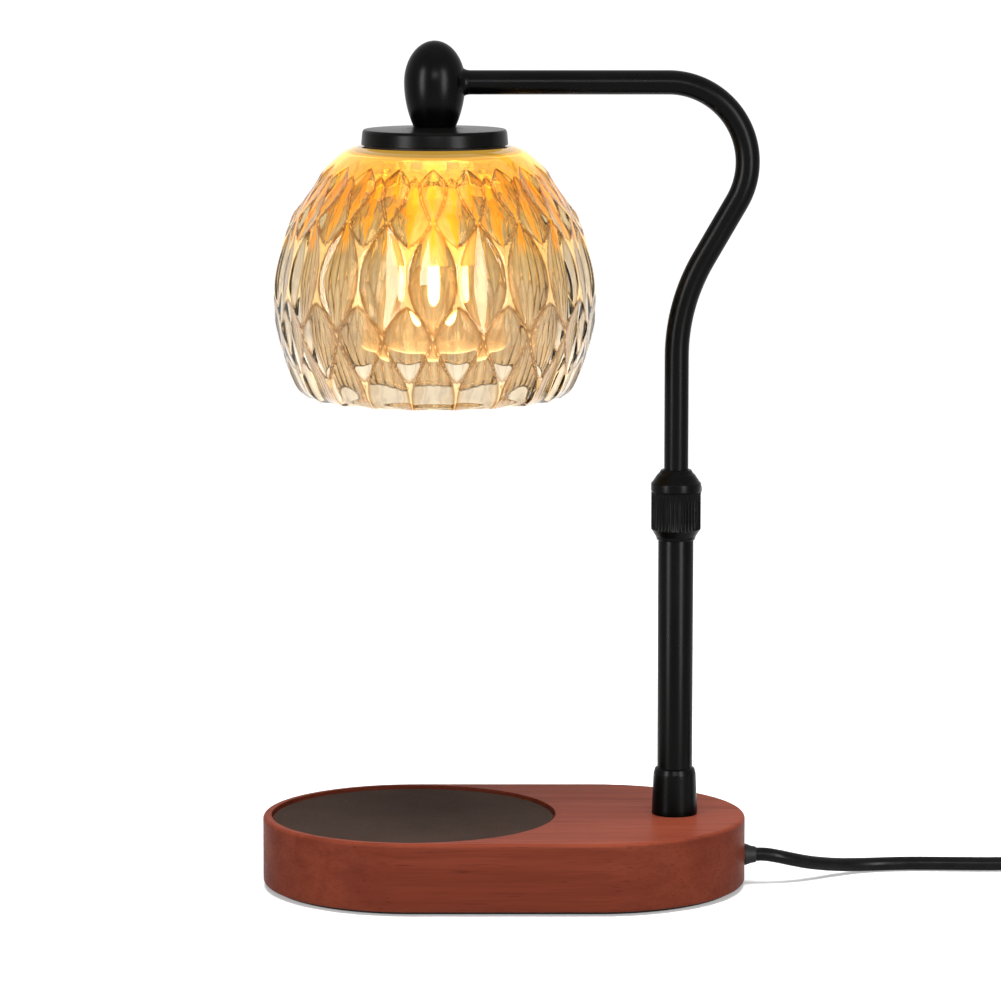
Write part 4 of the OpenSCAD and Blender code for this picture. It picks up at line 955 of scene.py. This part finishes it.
def cut_at(degrees, share):
    """The deepest lens at an angle and a share of the glass's height.

    Gives its depth there, how much deeper it is than the next lens, and the place across it.
    """
    deepest, second, across = 0, 0, 1
    for phase, middle, half in CUT_ROWS:
        v = (share - middle) / half
        width = 1 - v * v
        turn = degrees * CUTS / 360 - phase
        u = 2 * abs(turn - round(turn)) / max(width, 0.01)
        depth = width * (1 - u * u) if width > 0 and u < 1 else 0
        if depth > deepest:
            deepest, second, across = depth, deepest, u
        elif depth > second:
            second = depth
    return deepest, deepest - second, across


def glass_outer(share_down, degrees):
    """(r, z) on the outside of the glass, from its top to its foot."""
    p = curve_at(GLASS_LINE, (len(GLASS_LINE) - 1) * share_down)
    return GLASS_R * p[0] - CUT_DEPTH * cut_at(degrees, p[1])[0], GLASS_TOP - GLASS_H * p[1]


def glass_inner(share_up):
    """(r, z) on the inside of the glass, from its foot to its top."""
    p = curve_at(GLASS_LINE, (len(GLASS_LINE) - 1) * (1 - share_up))
    z = max(GLASS_FOOT + 0.8, min(GLASS_TOP - GLASS_H * p[1], GLASS_TOP - GLASS_WALL))
    return GLASS_R * p[0] - GLASS_WALL - (1 - share_up) * 0.6 - CUT_DEPTH / 2, z


COLUMNS, OUTER_ROWS, INNER_ROWS = CUTS * 20, 150, 48
glass_verts, glass_faces = [], []
ring = OUTER_ROWS + INNER_ROWS + 4
for c in range(COLUMNS):
    degrees = 360 * c / COLUMNS
    a = math.radians(degrees - 90)
    section = [(GLASS_HOLE_R, GLASS_TOP)]
    section += [glass_outer(i / OUTER_ROWS, degrees) for i in range(OUTER_ROWS + 1)]
    section += [glass_inner(i / INNER_ROWS) for i in range(INNER_ROWS + 1)]
    section += [(GLASS_HOLE_R, GLASS_TOP - GLASS_WALL)]
    glass_verts += [Vector((SHADE_X + r * math.cos(a), r * math.sin(a), z)) for r, z in section]
    here, there = c * ring, (c + 1) % COLUMNS * ring
    for k in range(ring):
        on = (k + 1) % ring
        glass_faces.append((here + k, here + on, there + on, there + k))
glass = piece(
    "glass_shade", (glass_verts, glass_faces),
    "arm", GLASS, ("shade_glass",), sharp=50,
)

# each point's place in its lens, which places the painted light and shade on the glass
plain = (1.0, 1.0)
places = []
for c in range(COLUMNS):
    places.append(plain)
    for i in range(OUTER_ROWS + 1):
        share = curve_at(GLASS_LINE, (len(GLASS_LINE) - 1) * i / OUTER_ROWS)[1]
        places.append(cut_at(360 * c / COLUMNS, share)[1:])
    places += [plain] * (INNER_ROWS + 2)
for name, values in (("inside", [p[0] for p in places]), ("across", [p[1] for p in places])):
    glass.data.attributes.new(name, "FLOAT", "POINT").data.foreach_set("value", values)

# ------------------------------------------------------------------ bulb

BOWL_H, BOWL_TOP_R, BOWL_WALL = 25.5, 11, 1.2
bowl = []
for i in range(25):
    h = BOWL_H * (1 - (1 - i / 24) ** 2)
    r = BOWL_TOP_R + (BULB_R - BOWL_TOP_R) * math.sqrt(max(0, 1 - h / BOWL_H))
    bowl.append((r, BULB_FACE + 4 + h))
bowl_inside = [(r - BOWL_WALL, z - 0.2) for r, z in reversed(bowl)]
bowl_line = [(BULB_R, BULB_RIM)] + bowl + bowl_inside + [(BULB_R - BOWL_WALL, BULB_RIM)]
piece(
    "bulb_bowl", lathe(bowl_line, at=(SHADE_X, 0)),
    "bulb", REFLECTOR, ("bulb_reflector",),
)
face_line = rounded([
    (0, BULB_FACE), (8, BULB_FACE), (23.6, BULB_FACE, 0.6), (BULB_R, 185.2, 0.5),
    (BULB_R, BULB_RIM), (0, BULB_RIM),
], steps=3)
piece(
    "bulb_face", lathe(face_line, at=(SHADE_X, 0)),
    "bulb", LENS, ("bulb_lens",),
)

# ------------------------------------------------------------------ CAD nodes that stay

STAYING = {
    COVER: ("bottom_cover", "cord_clamp"),
    ZINC: (
        "cover_screws", "ballast_screws", "post_stud", "stud_washer", "stud_nut", "clamp_screws",
        "switch_screws", "bush_rings", "cap_stud", "cap_nut", "shade_plate", "holder_bracket",
        "holder_screws", "bulb_pins",
    ),
    STEEL: ("ballast_plate",),
    NYLON: ("collar_bush", "lock_tip"),
    JACKET: ("base_lead", "arm_lead"),
    GRIP: ("shade_seal",),
    BOARD: ("dimmer_board",),
    BRASS: ("slide_bush", "plug_blades"),
    CERAMIC_PAINTED_GLOW: ("lampholder", "bulb_base"),
    CAPSULE: ("bulb_capsule",),
}
for look, names in STAYING.items():
    for name in names:
        for spot in nodes[name].material_slots:
            spot.material = look

# ------------------------------------------------------------------ stage and light

floor_mesh = bpy.data.meshes.new("floor")
floor_mesh.from_pydata([(-20, -8, 0), (20, -8, 0), (20, 30, 0), (-20, 30, 0)], [], [(0, 1, 2, 3)])
floor = bpy.data.objects.new("floor", floor_mesh)
floor.location.z = -0.0002  # just clear of the faces that rest on it
scene.collection.objects.link(floor)
floor_look = Look("floor", Base_Color=(0.6, 0.6, 0.6, 1), Roughness=0.9, Specular_IOR_Level=0.0)
floor_mesh.materials.append(floor_look.made)

world = bpy.data.worlds.new("studio")
scene.world = world
world.use_nodes = True
background = world.node_tree.nodes["Background"]
background.inputs["Color"].default_value = (1, 1, 1, 1)


def seen_level(tree, others, seen):
    """A strength of seen for what the camera, gloss and glass show, and of others elsewhere."""
    path = tree.nodes.new("ShaderNodeLightPath")
    looks = path.outputs["Is Camera Ray"]
    for name in ("Is Glossy Ray", "Is Transmission Ray"):
        most = tree.nodes.new("ShaderNodeMath")
        most.operation = "MAXIMUM"
        tree.links.new(looks, most.inputs[0])
        tree.links.new(path.outputs[name], most.inputs[1])
        looks = most.outputs[0]
    level = tree.nodes.new("ShaderNodeMapRange")
    level.inputs["To Min"].default_value = others
    level.inputs["To Max"].default_value = seen
    tree.links.new(looks, level.inputs["Value"])
    return level.outputs["Result"]


world.node_tree.links.new(seen_level(world.node_tree, 0.18, 1.0), background.inputs["Strength"])
far = floor_look.node("VectorMath", {0: floor_look.place}, operation="LENGTH").outputs["Value"]
away = floor_look.spread(far, 0.0, 1.0, 0.3, 2.5)
floor_look.set(
    Emission_Color=floor_look.ramp(away, (0.0, (0.35, 0.35, 0.35)), (1.0, (0.97, 0.97, 0.97))),
    Emission_Strength=seen_level(floor_look.tree, 0.0, 1.0),
)


def softbox(name, spot, target, width, height, power, diffuse=True, gloss=True):
    """A soft panel that faces target. Without diffuse it only shows in reflections."""
    light = bpy.data.lights.new(name, "AREA")
    light.shape = "RECTANGLE"
    light.size, light.size_y = width, height
    light.energy = power
    made = bpy.data.objects.new(name, light)
    made.location = spot
    made.rotation_euler = (Vector(target) - Vector(spot)).to_track_quat("-Z", "Y").to_euler()
    made.visible_diffuse = diffuse
    made.visible_glossy = gloss
    scene.collection.objects.link(made)


LEFT, RIGHT, FRONT = (-0.95, -0.85, 0.36), (0.78, -1.05, 0.36), (0.05, -1.35, 0.66)
MIDDLE = (0, 0, 0.15)
softbox("front_box", (0.0, -1.5, 0.5), (0, 0, 0.05), 0.7, 0.5, 10.5, gloss=False)
softbox("top_box", (0.0, -0.15, 1.15), MIDDLE, 0.7, 0.6, 34.0, gloss=False)
softbox("left_sheen", LEFT, MIDDLE, 0.32, 0.9, 26.0, diffuse=False)
softbox("right_sheen", RIGHT, MIDDLE, 0.36, 0.9, 26.0, diffuse=False)
softbox("front_sheen", FRONT, (0, 0, 0.27), 0.5, 0.12, 6.5, diffuse=False)

scene.view_settings.view_transform = "Standard"
